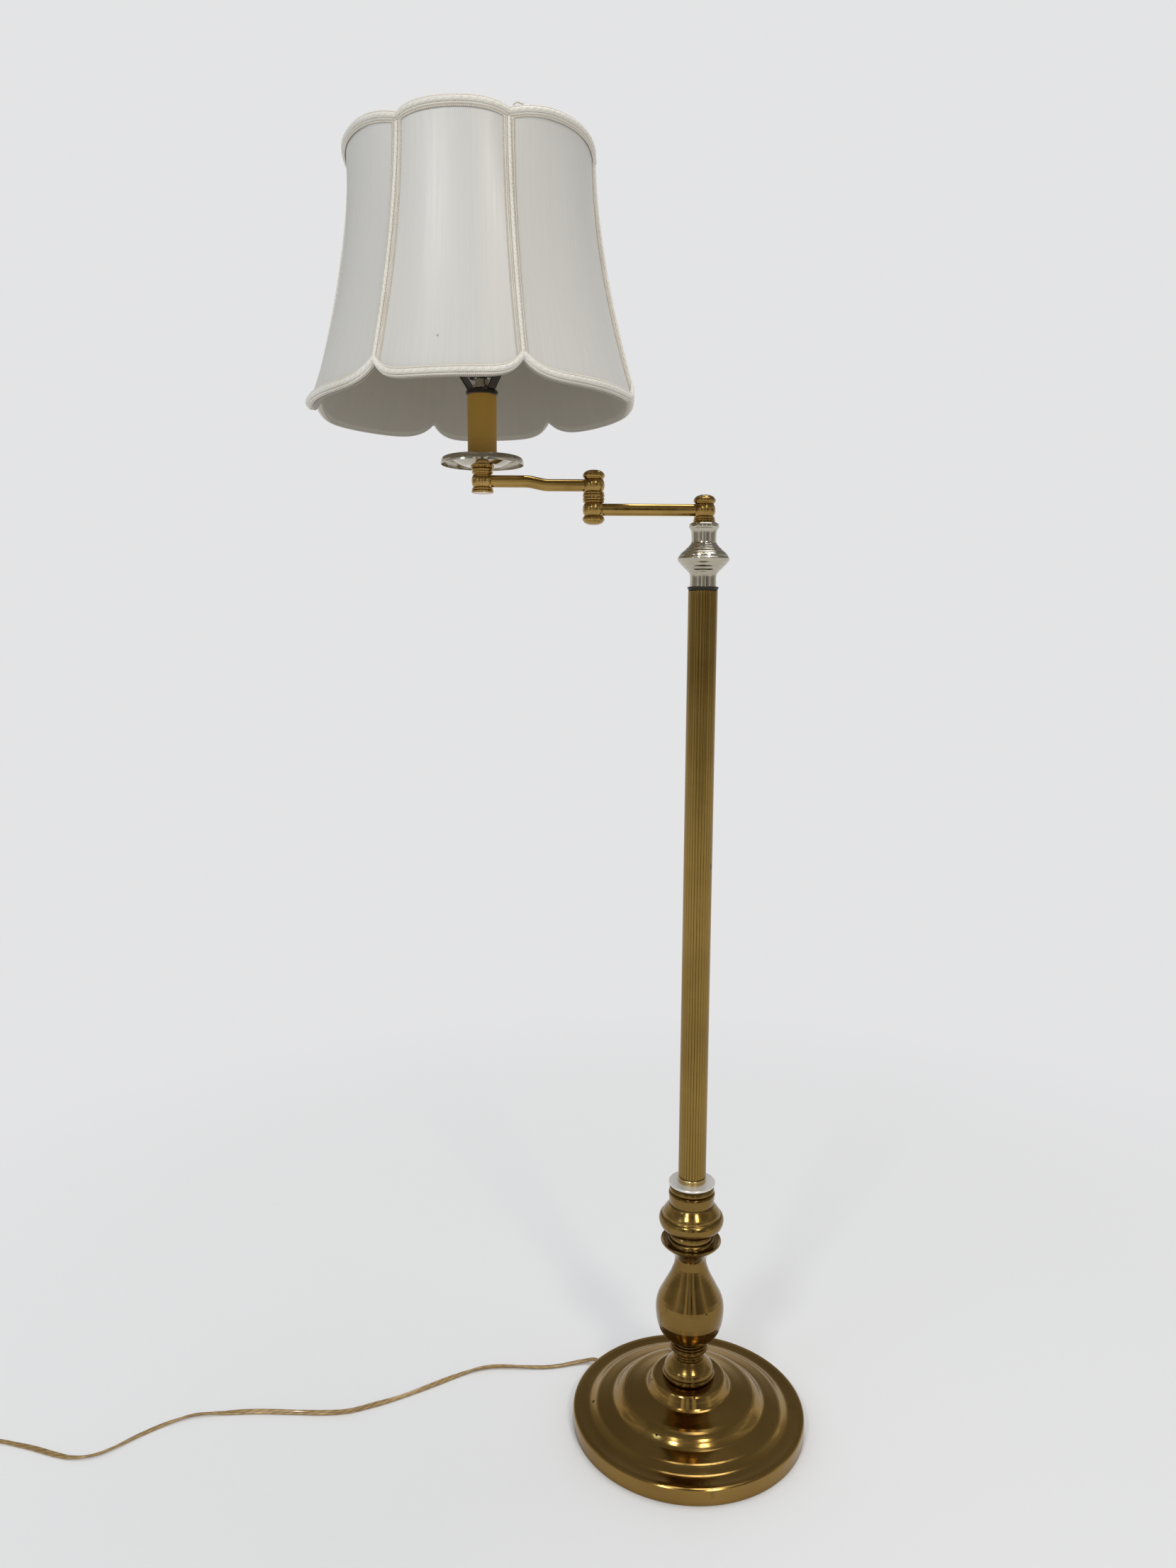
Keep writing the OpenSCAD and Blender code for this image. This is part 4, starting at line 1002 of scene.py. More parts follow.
STEEL = Metal(
    "plated_steel", (0.55, 0.55, 0.54), (0.40, 0.40, 0.39), (0.14, 0.10, 0.07),
    roughness=0.3, haze=0.18, spots=0.05, spot_scale=200.0, cloud_scale=30.0,
)
CAST_IRON = Coated(
    "rough_cast_iron", (0.045, 0.045, 0.047), (0.075, 0.068, 0.06), 0.6,
    grain=90.0, relief=0.3 * MM,
)
FELT = Coated(
    "base_felt", (0.045, 0.045, 0.04), (0.07, 0.068, 0.06), 0.9,
    grain=250.0, relief=0.4 * MM, sheen=0.5,
)
WIRE_SKIN = Coated("brown_wire_skin", (0.05, 0.035, 0.022), (0.075, 0.055, 0.035), 0.35)
BAKELITE = Coated(
    "moulded_brown", (0.028, 0.018, 0.012), (0.05, 0.032, 0.02), 0.24, coat=0.5, grain=45.0
)
CANDLE_CARD = Coated(
    "candle_cover_tan", (0.46, 0.265, 0.045), (0.39, 0.22, 0.036), 0.5,
    specular=0.2, grain=22.0, stretch=(1.0, 1.0, 0.25),
)
PANEL_SILK = Silk("ivory_panel_silk", (0.67, 0.655, 0.62), (0.60, 0.585, 0.55))
LINING = Silk(
    "shade_lining_cloth", (0.41, 0.375, 0.31), (0.39, 0.355, 0.29),
    warp=1500.0, slub=160.0, roughness=0.6, sheen=0.1, flecks=0.0,
)
# Each thread's second colour is painted shade in its fibre grooves, also used for its soiling.
ROPE_THREAD = Thread("bright_rope_thread", (0.88, 0.86, 0.805), (0.63, 0.575, 0.47))
FINE_THREAD = Thread(
    "fine_cord_thread", (0.88, 0.86, 0.80), (0.58, 0.51, 0.39), fibres=3600.0, slant=2600.0
)
TAPE_THREAD = Thread(
    "gimp_tape_thread", (0.70, 0.655, 0.56), (0.54, 0.48, 0.385), fibres=60.0, slant=3200.0
)
PICOT_THREAD = Coated("picot_thread", (0.84, 0.80, 0.73), (0.72, 0.665, 0.585), 0.55, grain=160.0)
CORD_SKIN = ClearCord()
CORD_BROWN = Coated("brown_cord_plastic", (0.075, 0.045, 0.024), (0.05, 0.03, 0.016), 0.3, coat=0.3)
PLUG_GOLD = Coated("gold_plug_plastic", (0.30, 0.19, 0.065), (0.22, 0.135, 0.045), 0.3, coat=0.5)
PAPER_TIE = Coated("paper_tie", (0.06, 0.05, 0.04), (0.09, 0.075, 0.06), 0.7, grain=300.0)
BULB = FrostedGlass()


def joins_of(*names: str) -> tuple[float, ...]:
    """Finds the heights at which a stack of solids meets.

    Args:
        *names: The solids' names.

    Returns:
        The heights from the lowest up, with those that are closer than a seam left out.
    """
    seam = 1.5 * MM
    heights = sorted(round(z, 4) for name in names for z in (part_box(name)[0].z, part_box(name)[1].z))
    return tuple(b for a, b in zip([-1.0] + heights, heights) if b - a > seam)


def dress_nodes(finish: Finish, *names: str) -> None:
    """Gives a finish to solids that are shown as they are.

    Args:
        finish: The finish.
        *names: The solids' names.
    """
    for name in names:
        finish.dress(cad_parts[name])
        LOG.info("%s dressed in %s", name, finish.name)


def add_piece(thing: bpy.types.Object, finish: Finish, body: Body, slot: str, *solids: str) -> None:
    """Dresses a new piece, puts it on its body and hides the solids that it stands for.

    Args:
        thing: The piece.
        finish: Its finish.
        body: The body that it moves with.
        slot: Not used.
        *solids: The solids that it replaces.
    """
    finish.dress(thing)
    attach(thing, body.value)
    if solids:
        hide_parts(*solids)
    LOG.info("%s built, %d faces", thing.name, len(thing.data.polygons))


def middle(node: str) -> Vector:
    """Returns the middle of a solid's box."""
    low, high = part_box(node)
    return (low + high) / 2


# ---- Studio ----


@dataclass
class Studio:
    """A pale floor, plain soft light and the camera."""

    eye: Vector = field(default_factory=lambda: Vector((-0.1185, -1.1818, 0.8923)))
    pitch_down: float = 7.539
    roll: float = 0.315
    lens_mm: float = 25.7142857
    paper: Colour = (0.775, 0.776, 0.786)
    floor_paint: Colour = (0.865, 0.865, 0.868)
    floor_r: float = 60.0
    floor_fade: Pair = (0.3, 1.4)
    sky: float = 0.50
    sky_tint: Colour = (0.98, 0.99, 1.0)
    board_tint: Colour = (1.0, 0.97, 0.92)
    board_edge: float = 0.22
    aim: Triple = (0.0, 0.0, 0.7)
    room_bands: Bands = (
        (0.01, 0.60), (0.16, 0.34), (0.30, 0.22), (0.325, 0.04), (0.335, 0.85), (0.385, 0.85),
        (0.40, 0.10), (0.45, 0.55), (0.475, 0.50), (0.50, 0.02), (0.525, 0.05), (0.545, 0.60),
        (0.60, 0.70), (0.625, 0.06), (0.68, 0.20), (0.82, 0.26), (0.99, 0.60),
    )
    side_bands: Bands = ((0.01, 0.70), (0.2, 0.34), (0.5, 0.30), (0.8, 0.36), (0.99, 0.70))
    ceiling_bands: Bands = (
        (0.01, 0.60), (0.25, 0.34), (0.45, 0.22), (0.6, 0.22), (0.75, 0.34), (0.99, 0.6),
    )

    def camera(self) -> None:
        """Sets up the camera."""
        lens = bpy.data.cameras.new("studio_camera")
        lens.lens = self.lens_mm
        lens.clip_start, lens.clip_end = 0.05, 200.0
        camera = bpy.data.objects.new("studio_camera", lens)
        camera.location = self.eye
        turn = Matrix.Rotation(math.radians(90 - self.pitch_down), 4, "X")
        turn = turn @ Matrix.Rotation(math.radians(self.roll), 4, "Z")
        camera.rotation_euler = turn.to_euler()
        bpy.context.scene.collection.objects.link(camera)
        bpy.context.scene.camera = camera

    def seen_rays(self, bench: Bench) -> Socket:
        """Tells the rays that see the plain background from those that light the scene.

        Args:
            bench: The bench of the background or of the floor.

        Returns:
            1 for a ray that sees the plain background, and 0 for any other.
        """
        path = bench.add("LightPath")
        seen = bench.math("MAXIMUM", path.outputs["Is Camera Ray"], path.outputs["Is Glossy Ray"])
        return bench.math("MAXIMUM", seen, path.outputs["Is Transmission Ray"])

    def world(self) -> None:
        """Sets the even light all round, and the plain background."""
        world = bpy.data.worlds.new("studio_world")
        world.use_nodes = True
        bpy.context.scene.world = world
        bench = Bench(world.node_tree)
        light = bench.add("Background", {"Color": rgba(self.sky_tint), "Strength": self.sky})
        plain = bench.add("Background", {"Color": rgba(self.paper), "Strength": 1.0})
        mix = bench.add(
            "MixShader", {0: self.seen_rays(bench), 1: light.outputs[0], 2: plain.outputs[0]}
        )
        bench.add("OutputWorld", {"Surface": mix.outputs[0]})

    def floor(self) -> None:
        """Lays the floor, which runs out into the background."""
        mesh = bmesh.new()
        bmesh.ops.create_circle(mesh, cap_ends=True, radius=self.floor_r, segments=96)
        floor = finished("studio_floor", mesh, smooth=False)
        made = bpy.data.materials.new("studio_floor_paint")
        made.use_nodes = True
        bench = Bench(made.node_tree)
        at = bench.add("TexCoord").outputs["Object"]
        far = bench.add("VectorMath", {0: at}, operation="LENGTH").outputs["Value"]
        away = bench.remap(far, *self.floor_fade)
        away = bench.math("MULTIPLY", away, self.seen_rays(bench))
        paint = bench.add("BsdfDiffuse", {"Color": rgba(self.floor_paint)})
        plain = bench.add("Emission", {"Color": rgba(self.paper), "Strength": 1.0})
        mix = bench.add("MixShader", {0: away, 1: paint.outputs[0], 2: plain.outputs[0]})
        bench.add("OutputMaterial", {"Surface": mix.outputs[0]})
        floor.data.materials.append(made)

    def lamp(
        self, name: str, place: Triple, size: float, power: float, tint: Colour = (1.0, 1.0, 1.0)
    ) -> None:
        """Hangs one square soft lamp that faces the middle of the scene.

        Args:
            name: Its name.
            place: Where it hangs.
            size: Its width.
            power: Its power in watts.
            tint: Its colour.
        """
        light = bpy.data.lights.new(name, "AREA")
        light.size, light.energy, light.color = size, power, tint
        thing = bpy.data.objects.new(name, light)
        thing.location = place
        way = Vector(self.aim) - Vector(place)
        thing.rotation_euler = way.to_track_quat("-Z", "Y").to_euler()
        bpy.context.scene.collection.objects.link(thing)

    def board(self, name: str, stand: Matrix, size: Pair, bands: Bands) -> None:
        """Sets up a board that only polished metal sees, as it would see a room.

        Args:
            name: Its name.
            stand: Where it stands and how it is turned.
            size: Its width and height.
            bands: Shares across it, from 0 to 1, each with how light the board is there.
        """
        mesh = bmesh.new()
        bmesh.ops.create_grid(mesh, x_segments=1, y_segments=1, size=0.5)
        bmesh.ops.transform(mesh, matrix=stand @ Matrix.Diagonal((*size, 1, 1)), verts=mesh.verts)
        layer = mesh.loops.layers.uv.new(UV_NAME)
        for face in mesh.faces:
            for loop in face.loops:
                flat = stand.inverted() @ loop.vert.co
                loop[layer].uv = (flat.x / size[0] + 0.5, flat.y / size[1] + 0.5)
        board = finished(name, mesh, smooth=False)
        made = bpy.data.materials.new(name)
        made.use_nodes = True
        bench = Bench(made.node_tree)
        at = bench.add("UVMap", uv_map=UV_NAME).outputs[0]
        x, y, _ = bench.parts(at)
        ramp = bench.add("ValToRGB", {0: x})
        stops = ramp.color_ramp.elements
        ramp.color_ramp.interpolation = "EASE"
        for share, light in bands:
            stop = stops.new(share)
            stop.color = (*(part * light for part in self.board_tint), 1.0)
        stops.remove(stops[0])
        stops.remove(stops[-1])
        edge = bench.math("MULTIPLY", bench.math("SUBTRACT", 1.0, y), y)
        edge = bench.remap(edge, 0.0, self.board_edge)
        colour = bench.blend(edge, rgba(self.paper), ramp.outputs[0])
        glow = bench.add("Emission", {"Color": colour, "Strength": 1.0})
        bench.add("OutputMaterial", {"Surface": glow.outputs[0]})
        board.data.materials.append(made)
        board.visible_camera = board.visible_diffuse = board.visible_shadow = False

    def build(self) -> None:
        """Sets the studio up."""
        self.camera()
        self.world()
        self.floor()
        upright = Matrix.Rotation(math.radians(90), 4, "X")
        front = Matrix.Translation((0.0, -4.2, 1.6)) @ upright
        self.board("front_board", front, (11.0, 4.6), self.room_bands)
        for name, side in (("left_board", -1), ("right_board", 1)):
            turn = Matrix.Rotation(math.radians(90 * side), 4, "Z")
            wall = Matrix.Translation((6.2 * side, -0.5, 1.6)) @ turn @ upright
            self.board(name, wall, (8.5, 4.2), self.side_bands)
        level = Matrix.Translation((0.0, 1.0, 3.5))
        self.board("ceiling_board", level, (22.0, 22.0), self.ceiling_bands)
        self.lamp("left_softbox", (-1.3, -2.45, 2.75), 0.45, 21.0, (0.97, 0.99, 1.0))
        self.lamp("right_softbox", (1.05, -2.5, 2.8), 0.45, 20.0, (1.0, 0.93, 0.83))
        self.lamp("overhead_softbox", (0.3, 0.5, 3.3), 1.4, 24.0)
        self.lamp("window", (-2.3, -1.7, 2.0), 0.5, 3.0, (0.62, 0.86, 1.0))
        LOG.info("studio set up")


# ---- Cord ----


@dataclass
class TwinCord:
    """The flat twin lead, its coil, tie, bushing and plug."""

    core_r: float = 1.4 * MM
    waist: float = 0.62
    exit_angle: float = 138.0
    exit_r: float = 133.0 * MM
    exit_z: float = 8.0 * MM
    lie_z: float = 2.9 * MM
    floor_gap: float = 0.15 * MM
    landing: float = 0.03
    settling: float = 0.05
    twist_length: float = 0.115
    twist_swing: float = 0.5
    wander: float = 1.9
    coil_centre: Pair = (-0.836, -0.077)
    coil_r: float = 0.031
    coil_z: float = 3.8 * MM
    coil_start: float = 72.0
    coil_end: float = 300.0
    coil_step: float = 15.0
    layer_change: float = 0.22
    ring_step: float = 0.0022

    @property
    def width(self) -> float:
        """The cord's full width."""
        return 4 * self.core_r

    def lead_route(self) -> list[Vector]:
        """Lays out the route from the base to the coil.

        Returns:
            The points that it passes through.
        """
        a = math.radians(self.exit_angle)
        out = [
            (r * math.cos(a), r * math.sin(a), self.exit_z)
            for r in (self.exit_r - 3 * MM, self.exit_r + 4 * MM)
        ]
        out += [(-0.108, 0.0965, 0.0064), (-0.114, 0.098, 0.0044), (-0.122, 0.0975, 0.0032)]
        floor = [
            (-135, 94.5), (-165, 88), (-202, 88), (-237, 86), (-265, 76), (-296, 56),
            (-329, 36), (-360, 19), (-390, 6), (-418, 3), (-450, 4), (-508, 4), (-560, 0),
            (-590, -13), (-615, -32), (-636, -53), (-652, -65), (-673, -69), (-697, -65),
            (-731, -54), (-765, -45), (-800, -40),
        ]
        out += [(x * MM, y * MM, self.lie_z) for x, y in floor]
        return [Vector(p) for p in out]

    def coil_route(self) -> list[Vector]:
        """Lays out the turns of the coil, side by side and in three layers.

        Returns:
            The points that they pass through.
        """
        step, low = self.width, self.coil_z
        radii = [self.coil_r + step, self.coil_r, self.coil_r - step]
        slots = [(r, low) for r in radii] + [(r, low + step) for r in reversed(radii)]
        slots += [(radii[1], low + 2 * step), (radii[0], low + 2 * step)]
        out = []
        angle = self.coil_start
        while angle <= self.coil_end + 360.0 * (len(slots) - 1):
            turns = (angle - self.coil_start) / 360.0
            k = min(int(turns), len(slots) - 1)
            ease = smoothstep((turns - k) / self.layer_change) if k else 1.0
            a, b = slots[max(k - 1, 0)], slots[k]
            r, z = lerp(a[0], b[0], ease), lerp(a[1], b[1], ease)
            t = math.radians(angle)
            x, y = self.coil_centre
            out.append(Vector((x + r * math.cos(t), y + r * math.sin(t), z)))
            angle += self.coil_step
        return out

    def tail_route(self) -> list[Vector]:
        """Lays out the short route from the coil to the plug.

        Returns:
            The points that it passes through.
        """
        points = [
            (-807.5, -99, 14.6), (-797, -97.2, 13.4), (-788.8, -103, 11),
            (-786, -114, 8.5), (-790, -127, 7), (-798, -136, 6.5), (-799.5, -137.6, 6.5),
        ]
        return [Vector(p) * MM for p in points]

    def track(self) -> Track:
        """Joins the routes into the whole cord's line, rolled so that it twists as it lies.

        Returns:
            The line, with the way across the two cores as its side.
        """
        lead = catmull(self.lead_route(), 6)
        on_floor = lengths(lead)[-1] - 0.01
        line = lead + catmull(self.coil_route(), 3) + catmull(self.tail_route(), 5)
        line = respaced(line, self.ring_step)
        run = lengths(line)
        n = len(line)
        sides = []
        for i, point in enumerate(line):
            head = (line[min(i + 1, n - 1)] - line[max(i - 1, 0)]).normalized()
            flat = Vector((-head.y, head.x, 0.0)).normalized()
            up = head.cross(flat)
            roll = self.roll(run[i], run[-1])
            sides.append(flat * math.cos(roll) + up * math.sin(roll))
            if self.landing < run[i] < on_floor:
                rest = self.core_r * (1 + abs(math.sin(roll))) + self.floor_gap
                sunk = smoothstep((run[i] - self.landing) / self.settling)
                point.z = max(rest, point.z * (1 - sunk))
        return Track(line, sides)

    def roll(self, run: float, total: float) -> float:
        """Works out how far the cord has rolled about its own line.

        Args:
            run: The distance run along the cord.
            total: The cord's length.

        Returns:
            The roll in radians, which is nothing at either end.
        """
        wander = noise.noise(Vector((run * 4.0, 0.3, 0.0))) * self.wander
        end = min(smoothstep((run - 0.02) / 0.1), smoothstep((total - run - 0.01) / 0.05))
        return end * (wander + self.twist_swing * math.sin(2 * math.pi * run / self.twist_length))

    def section(self, u: float, _run: float) -> Pair:
        """Gives the twin outline, which has a waist between its two cores.

        Args:
            u: The share round the outline.
            _run: The distance run, which changes nothing here.

        Returns:
            The sideways and upward place.
        """
        angle = 2 * math.pi * u
        c, s = math.cos(angle), math.sin(angle)
        r = self.core_r
        web = min(r / max(abs(c), 1e-6), self.waist * r / max(abs(s), 1e-6))
        reach = max(2 * r * abs(c), web)
        return c * reach, s * reach

    def lead(self) -> None:
        """Builds the cord."""
        track = self.track()
        mesh = bmesh.new()
        sweep(mesh, track, 20, self.section, 8 * self.core_r)
        cord = finished("twin_cord", mesh)
        add_piece(cord, CORD_SKIN, Body.STAND, "cord", "power_cord", "cord_coil")
        self.width
        [tuple(p) for p in track.points]
        LOG.info("cord is %.3f m long", track.total)

    def build(self) -> None:
        """Builds the cord and dresses what is on it."""
        self.lead()
        dress_nodes(CORD_BROWN, "cord_bushing")
        dress_nodes(PLUG_GOLD, "plug")
        dress_nodes(PAPER_TIE, "coil_tie")
        dress_nodes(RAW_BRASS, "plug_blades")


# ---- Stand ----


@dataclass
class Stand:
    """The weighted base and the turned stem.

    The bright vase is ridged between two shares of its height.
    """

    vase_ridges: Pair = (0.22, 0.70)

    def build(self) -> None:
        """Dresses the base and the stem."""
        dress_nodes(FELT, "felt_pad")
        dress_nodes(CAST_IRON, "base_weight")
        dress_nodes(STEEL, "base_washer", "base_nut", "stem_pipe", "column_post", "column_post_nut")
        dress_nodes(WIRE_SKIN, "stem_wire")
        dress_nodes(BASE_BRASS, "base_shell")
        turned = ("bell_foot", "ringed_collar", "baluster", "ring_knop", "cup")
        # The joins of the turned pieces are darkened, partly grime and partly painted shade.
        dress_nodes(replace(STEM_BRASS, joins=joins_of(*turned)), *turned)
        dress_nodes(SATIN_NICKEL, "seat_plate")
        low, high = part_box("top_vase")
        bottom, top = (lerp(low.z, high.z, share) for share in self.vase_ridges)
        vase = replace(NICKEL, name="ridged_nickel", ridge_zone=(bottom, top))
        dress_nodes(vase, "top_vase")
        dress_nodes(GOLD_RING, "seat_ring")
        dress_nodes(BLACK_RING, "black_ring")


@dataclass
class ReededColumn:
    """The tall tube of rounded reeds between the stem and the vase."""

    reeds: int = 30
    facets: int = 14
    crown: float = 0.14 * MM
    groove: float = 0.55 * MM
    groove_start: float = 0.7
    groove_span: float = 0.3
    end_round: float = 1.5 * MM
    end_step: float = 1.1 * MM
    core_in: float = 0.3 * MM
    core_short: float = 0.2 * MM

    def radius(self, share: float, outer: float) -> float:
        """Works out the radius across one reed.

        Args:
            share: The share across the reed, from -1 to 1.
            outer: The radius at its crown.

        Returns:
            The radius.
        """
        edge = max(0.0, (abs(share) - self.groove_start) / self.groove_span) ** 1.6
        return outer - self.crown * share * share - self.groove * edge

    def build(self) -> None:
        """Builds the column in place of its solid."""
        low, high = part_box("column")
        outer = (high.x - low.x) / 2
        centre = middle("column")
        rows = [0.0, 0.25, 0.5, 0.75, 1.0]
        ends = [low.z + self.end_round * s for s in rows] + [low.z + 0.01]
        ends += [high.z - 0.01] + [high.z - self.end_round * s for s in reversed(rows)]
        count = len(ends) - 1
        around = self.reeds * self.facets

        def place(u: float, v: float) -> Vector:
            """Gives the reeded surface, with its rounded ends.

            Args:
                u: The share round the column.
                v: The share of the rows from the bottom up.

            Returns:
                The point.
            """
            i = round(v * count)
            angle = 2 * math.pi * u
            share = ((u * self.reeds) % 1.0) * 2 - 1
            z = ends[i]
            near = min(abs(z - low.z), abs(high.z - z)) / self.end_round
            r = self.radius(share, outer)
            if near < 1:
                r -= self.end_step * (1 - math.sqrt(max(0.0, 1 - (1 - near) ** 2)))
                rise = self.end_round * 0.9 * abs(share) ** 2.2 * (1 - near)
                z += rise if v < 0.5 else -rise
            return Vector((centre.x + r * math.cos(angle), centre.y + r * math.sin(angle), z))

        mesh = bmesh.new()
        size = (2 * math.pi * outer, high.z - low.z)
        wrapped(mesh, around, count, place, size, lambda p: Vector((p.x, p.y, 0)))
        core_r = outer - self.crown - self.groove - self.core_in
        foot = Vector((centre.x, centre.y, low.z + self.core_short))
        tube = bmesh.ops.create_circle(mesh, cap_ends=False, radius=core_r, segments=96)
        bmesh.ops.translate(mesh, verts=tube["verts"], vec=foot)
        edges = list(dict.fromkeys(e for v in tube["verts"] for e in v.link_edges))
        raised = bmesh.ops.extrude_edge_only(mesh, edges=edges)
        top = [v for v in raised["geom"] if isinstance(v, bmesh.types.BMVert)]
        tall = high.z - low.z - 2 * self.core_short
        bmesh.ops.translate(mesh, verts=top, vec=(0, 0, tall))
        inner = list(dict.fromkeys(f for v in top for f in v.link_faces))
        bmesh.ops.recalc_face_normals(mesh, faces=inner)
        column = finished("reeded_column", mesh)
        # The gaps between reeds and the column's two ends are darkened, partly grime and partly
        # painted shade.
        brass = replace(COLUMN_BRASS, reeds=self.reeds / size[0], joins=(low.z, high.z))
        add_piece(column, brass, Body.STAND, "column_brass", "column")


# ---- Arms ----


@dataclass
class SwingArms:
    """The two arms with their knuckles, from the column to the candle."""

    bend_r: float = 40 * MM
    bend_angle: float = 12.0
    bend_steps: int = 12
    flat_end: float = 36.5 * MM
    ring_step: float = 1.2 * MM

    def bent_line(self) -> Track:
        """Lays out the middle line of the upper tube, which rises through two soft bends.

        Returns:
            The line, with the level way across it as its side.
        """
        low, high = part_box("upper_tube")
        tube_r = (high.y - low.y) / 2
        start, end = low.z + tube_r, high.z - tube_r
        turn = math.radians(self.bend_angle)
        steps = [turn * k / self.bend_steps for k in range(self.bend_steps + 1)]
        across = [self.bend_r * math.sin(a) for a in steps]
        up = [self.bend_r * (1 - math.cos(a)) for a in steps]
        run = 2 * across[-1] + (end - start - 2 * up[-1]) / math.tan(turn)
        bend_x = low.x + self.flat_end + run
        line = [(high.x, start)]
        line += [(bend_x - dx, start + dz) for dx, dz in zip(across, up)]
        line += [(bend_x - run + dx, end - dz) for dx, dz in zip(across[::-1], up[::-1])]
        line += [(low.x, end)]
        points = respaced([Vector((x, 0.0, z)) for x, z in line], self.ring_step)
        return Track(points, [Vector((0.0, 1.0, 0.0))] * len(points))

    def upper_tube(self) -> None:
        """Builds the bent tube with a smoother bend than its solid has."""
        low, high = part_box("upper_tube")
        radius = (high.y - low.y) / 2

        def section(u: float, _run: float) -> Pair:
            """Returns a point of the round outline."""
            angle = 2 * math.pi * u
            return radius * math.cos(angle), radius * math.sin(angle)

        mesh = bmesh.new()
        sweep(mesh, self.bent_line(), 64, section, 2 * math.pi * radius)
        tube = finished("bent_tube", mesh)
        add_piece(tube, ARM_BRASS, Body.UPPER_ARM, "arm_brass", "upper_tube")

    def build(self) -> None:
        """Builds the bent tube and dresses the rest of the arms."""
        dress_nodes(
            ARM_BRASS, "lower_knuckle", "lower_knuckle_cap", "lower_tube", "middle_knuckle_lower",
            "middle_knuckle_cap", "middle_knuckle_upper", "upper_knuckle_cap", "end_knuckle",
            "finial",
        )
        dress_nodes(STEEL, "middle_post", "middle_post_nut")
        dress_nodes(WIRE_SKIN, "lower_arm_wire", "upper_arm_wire")
        self.upper_tube()


@dataclass
class CandleSocket:
    """The drip pan, the candle cover, the socket, the bulb and the harp."""

    def build(self) -> None:
        """Dresses what the upper arm carries under the shade."""
        dress_nodes(NICKEL, "drip_pan", "socket_neck")
        dress_nodes(CANDLE_CARD, "candle_tube")
        dress_nodes(BRONZE, "candle_cap", "harp_saddle", "socket_cap")
        dress_nodes(STEEL, "candle_pipe", "bulb_base")
        dress_nodes(RAW_BRASS, "socket_shell", "harp", "harp_sleeve_left", "harp_sleeve_right")
        dress_nodes(BAKELITE, "socket_core", "switch_knob")
        dress_nodes(BULB, "bulb_glass")


# ---- Shade ----


@dataclass(frozen=True)
class Gimp:
    """Where one rim's trim lies: millimetres out from the cover, and up from its edge."""

    band: tuple[Pair, ...]
    rope: Pair
    cords: tuple[Pair, ...]
    picots: Pair


GIMPS = {
    Edge.TOP: Gimp(
        band=(
            (0.15, -7.6), (0.75, -7.6), (0.9, -4.5), (0.6, 0.6), (-0.4, 1.2),
            (-4.6, 0.9), (-5.5, 0.2), (-5.5, -1.0), (-4.4, -0.2), (0.1, 0.3),
        ),
        rope=(1.3, -1.9),
        cords=((0.8, 1.25), (1.0, -5.1)),
        picots=(0.75, -7.5),
    ),
    Edge.BOTTOM: Gimp(
        band=(
            (0.15, 6.2), (0.75, 6.2), (0.9, 3.5), (0.6, -1.6), (-0.6, -2.4),
            (-4.6, -1.0), (-5.5, -0.2), (-5.5, 0.9), (-4.4, 0.2), (0.1, -0.5),
        ),
        rope=(1.25, 1.7),
        cords=((0.95, 4.9), (0.6, -1.6)),
        picots=(-0.9, -2.7),
    ),
}

# The ropes and cords of the rims, the loose end and the braids over the seams.
RIM_ROPE = Twist(2.5 * MM, 3, 11 * MM, 0.14, around=16, girth=15.7 * MM)
RIM_CORD = Twist(0.95 * MM, 2, 3.4 * MM, 0.2, around=8, girth=6.0 * MM)
LOOSE_CORD = Twist(0.8 * MM, 2, 3.0 * MM, 0.25, around=8, girth=5.0 * MM)
BRAID_ROPE = Twist(1.8 * MM, 2, 7.5 * MM, 0.22, around=14, girth=11.3 * MM)
OUTER_CORD = Twist(0.6 * MM, 2, 2.6 * MM, 0.2, around=6, girth=3.6 * MM)
INNER_CORD = replace(OUTER_CORD, radius=0.55 * MM)

# Millimetres round the shade from the seam, and for the tape also out from the cover.
BRAID_CORDS = ((-4.0, OUTER_CORD), (-2.7, INNER_CORD), (2.7, INNER_CORD), (4.0, OUTER_CORD))
BRAID_RING = (
    (-5.4, 0.2), (-5.0, 0.7), (-2.6, 0.9), (0, 1.0), (2.6, 0.9),
    (5.0, 0.7), (5.4, 0.2), (2.6, 0.2), (0, 0.2), (-2.6, 0.2),
)
BRAID_EDGE = 5.7

# Millimetres round the rim from the loose end's foot, and up from it.
LOOSE_RISE = ((-5.0, 1.6), (-3.0, 3.6), (-0.5, 4.6), (2.0, 4.0), (4.5, 3.9), (7.5, 2.0))

PICOT_R = 0.62 * MM
TAPE_GIRTH = 0.02


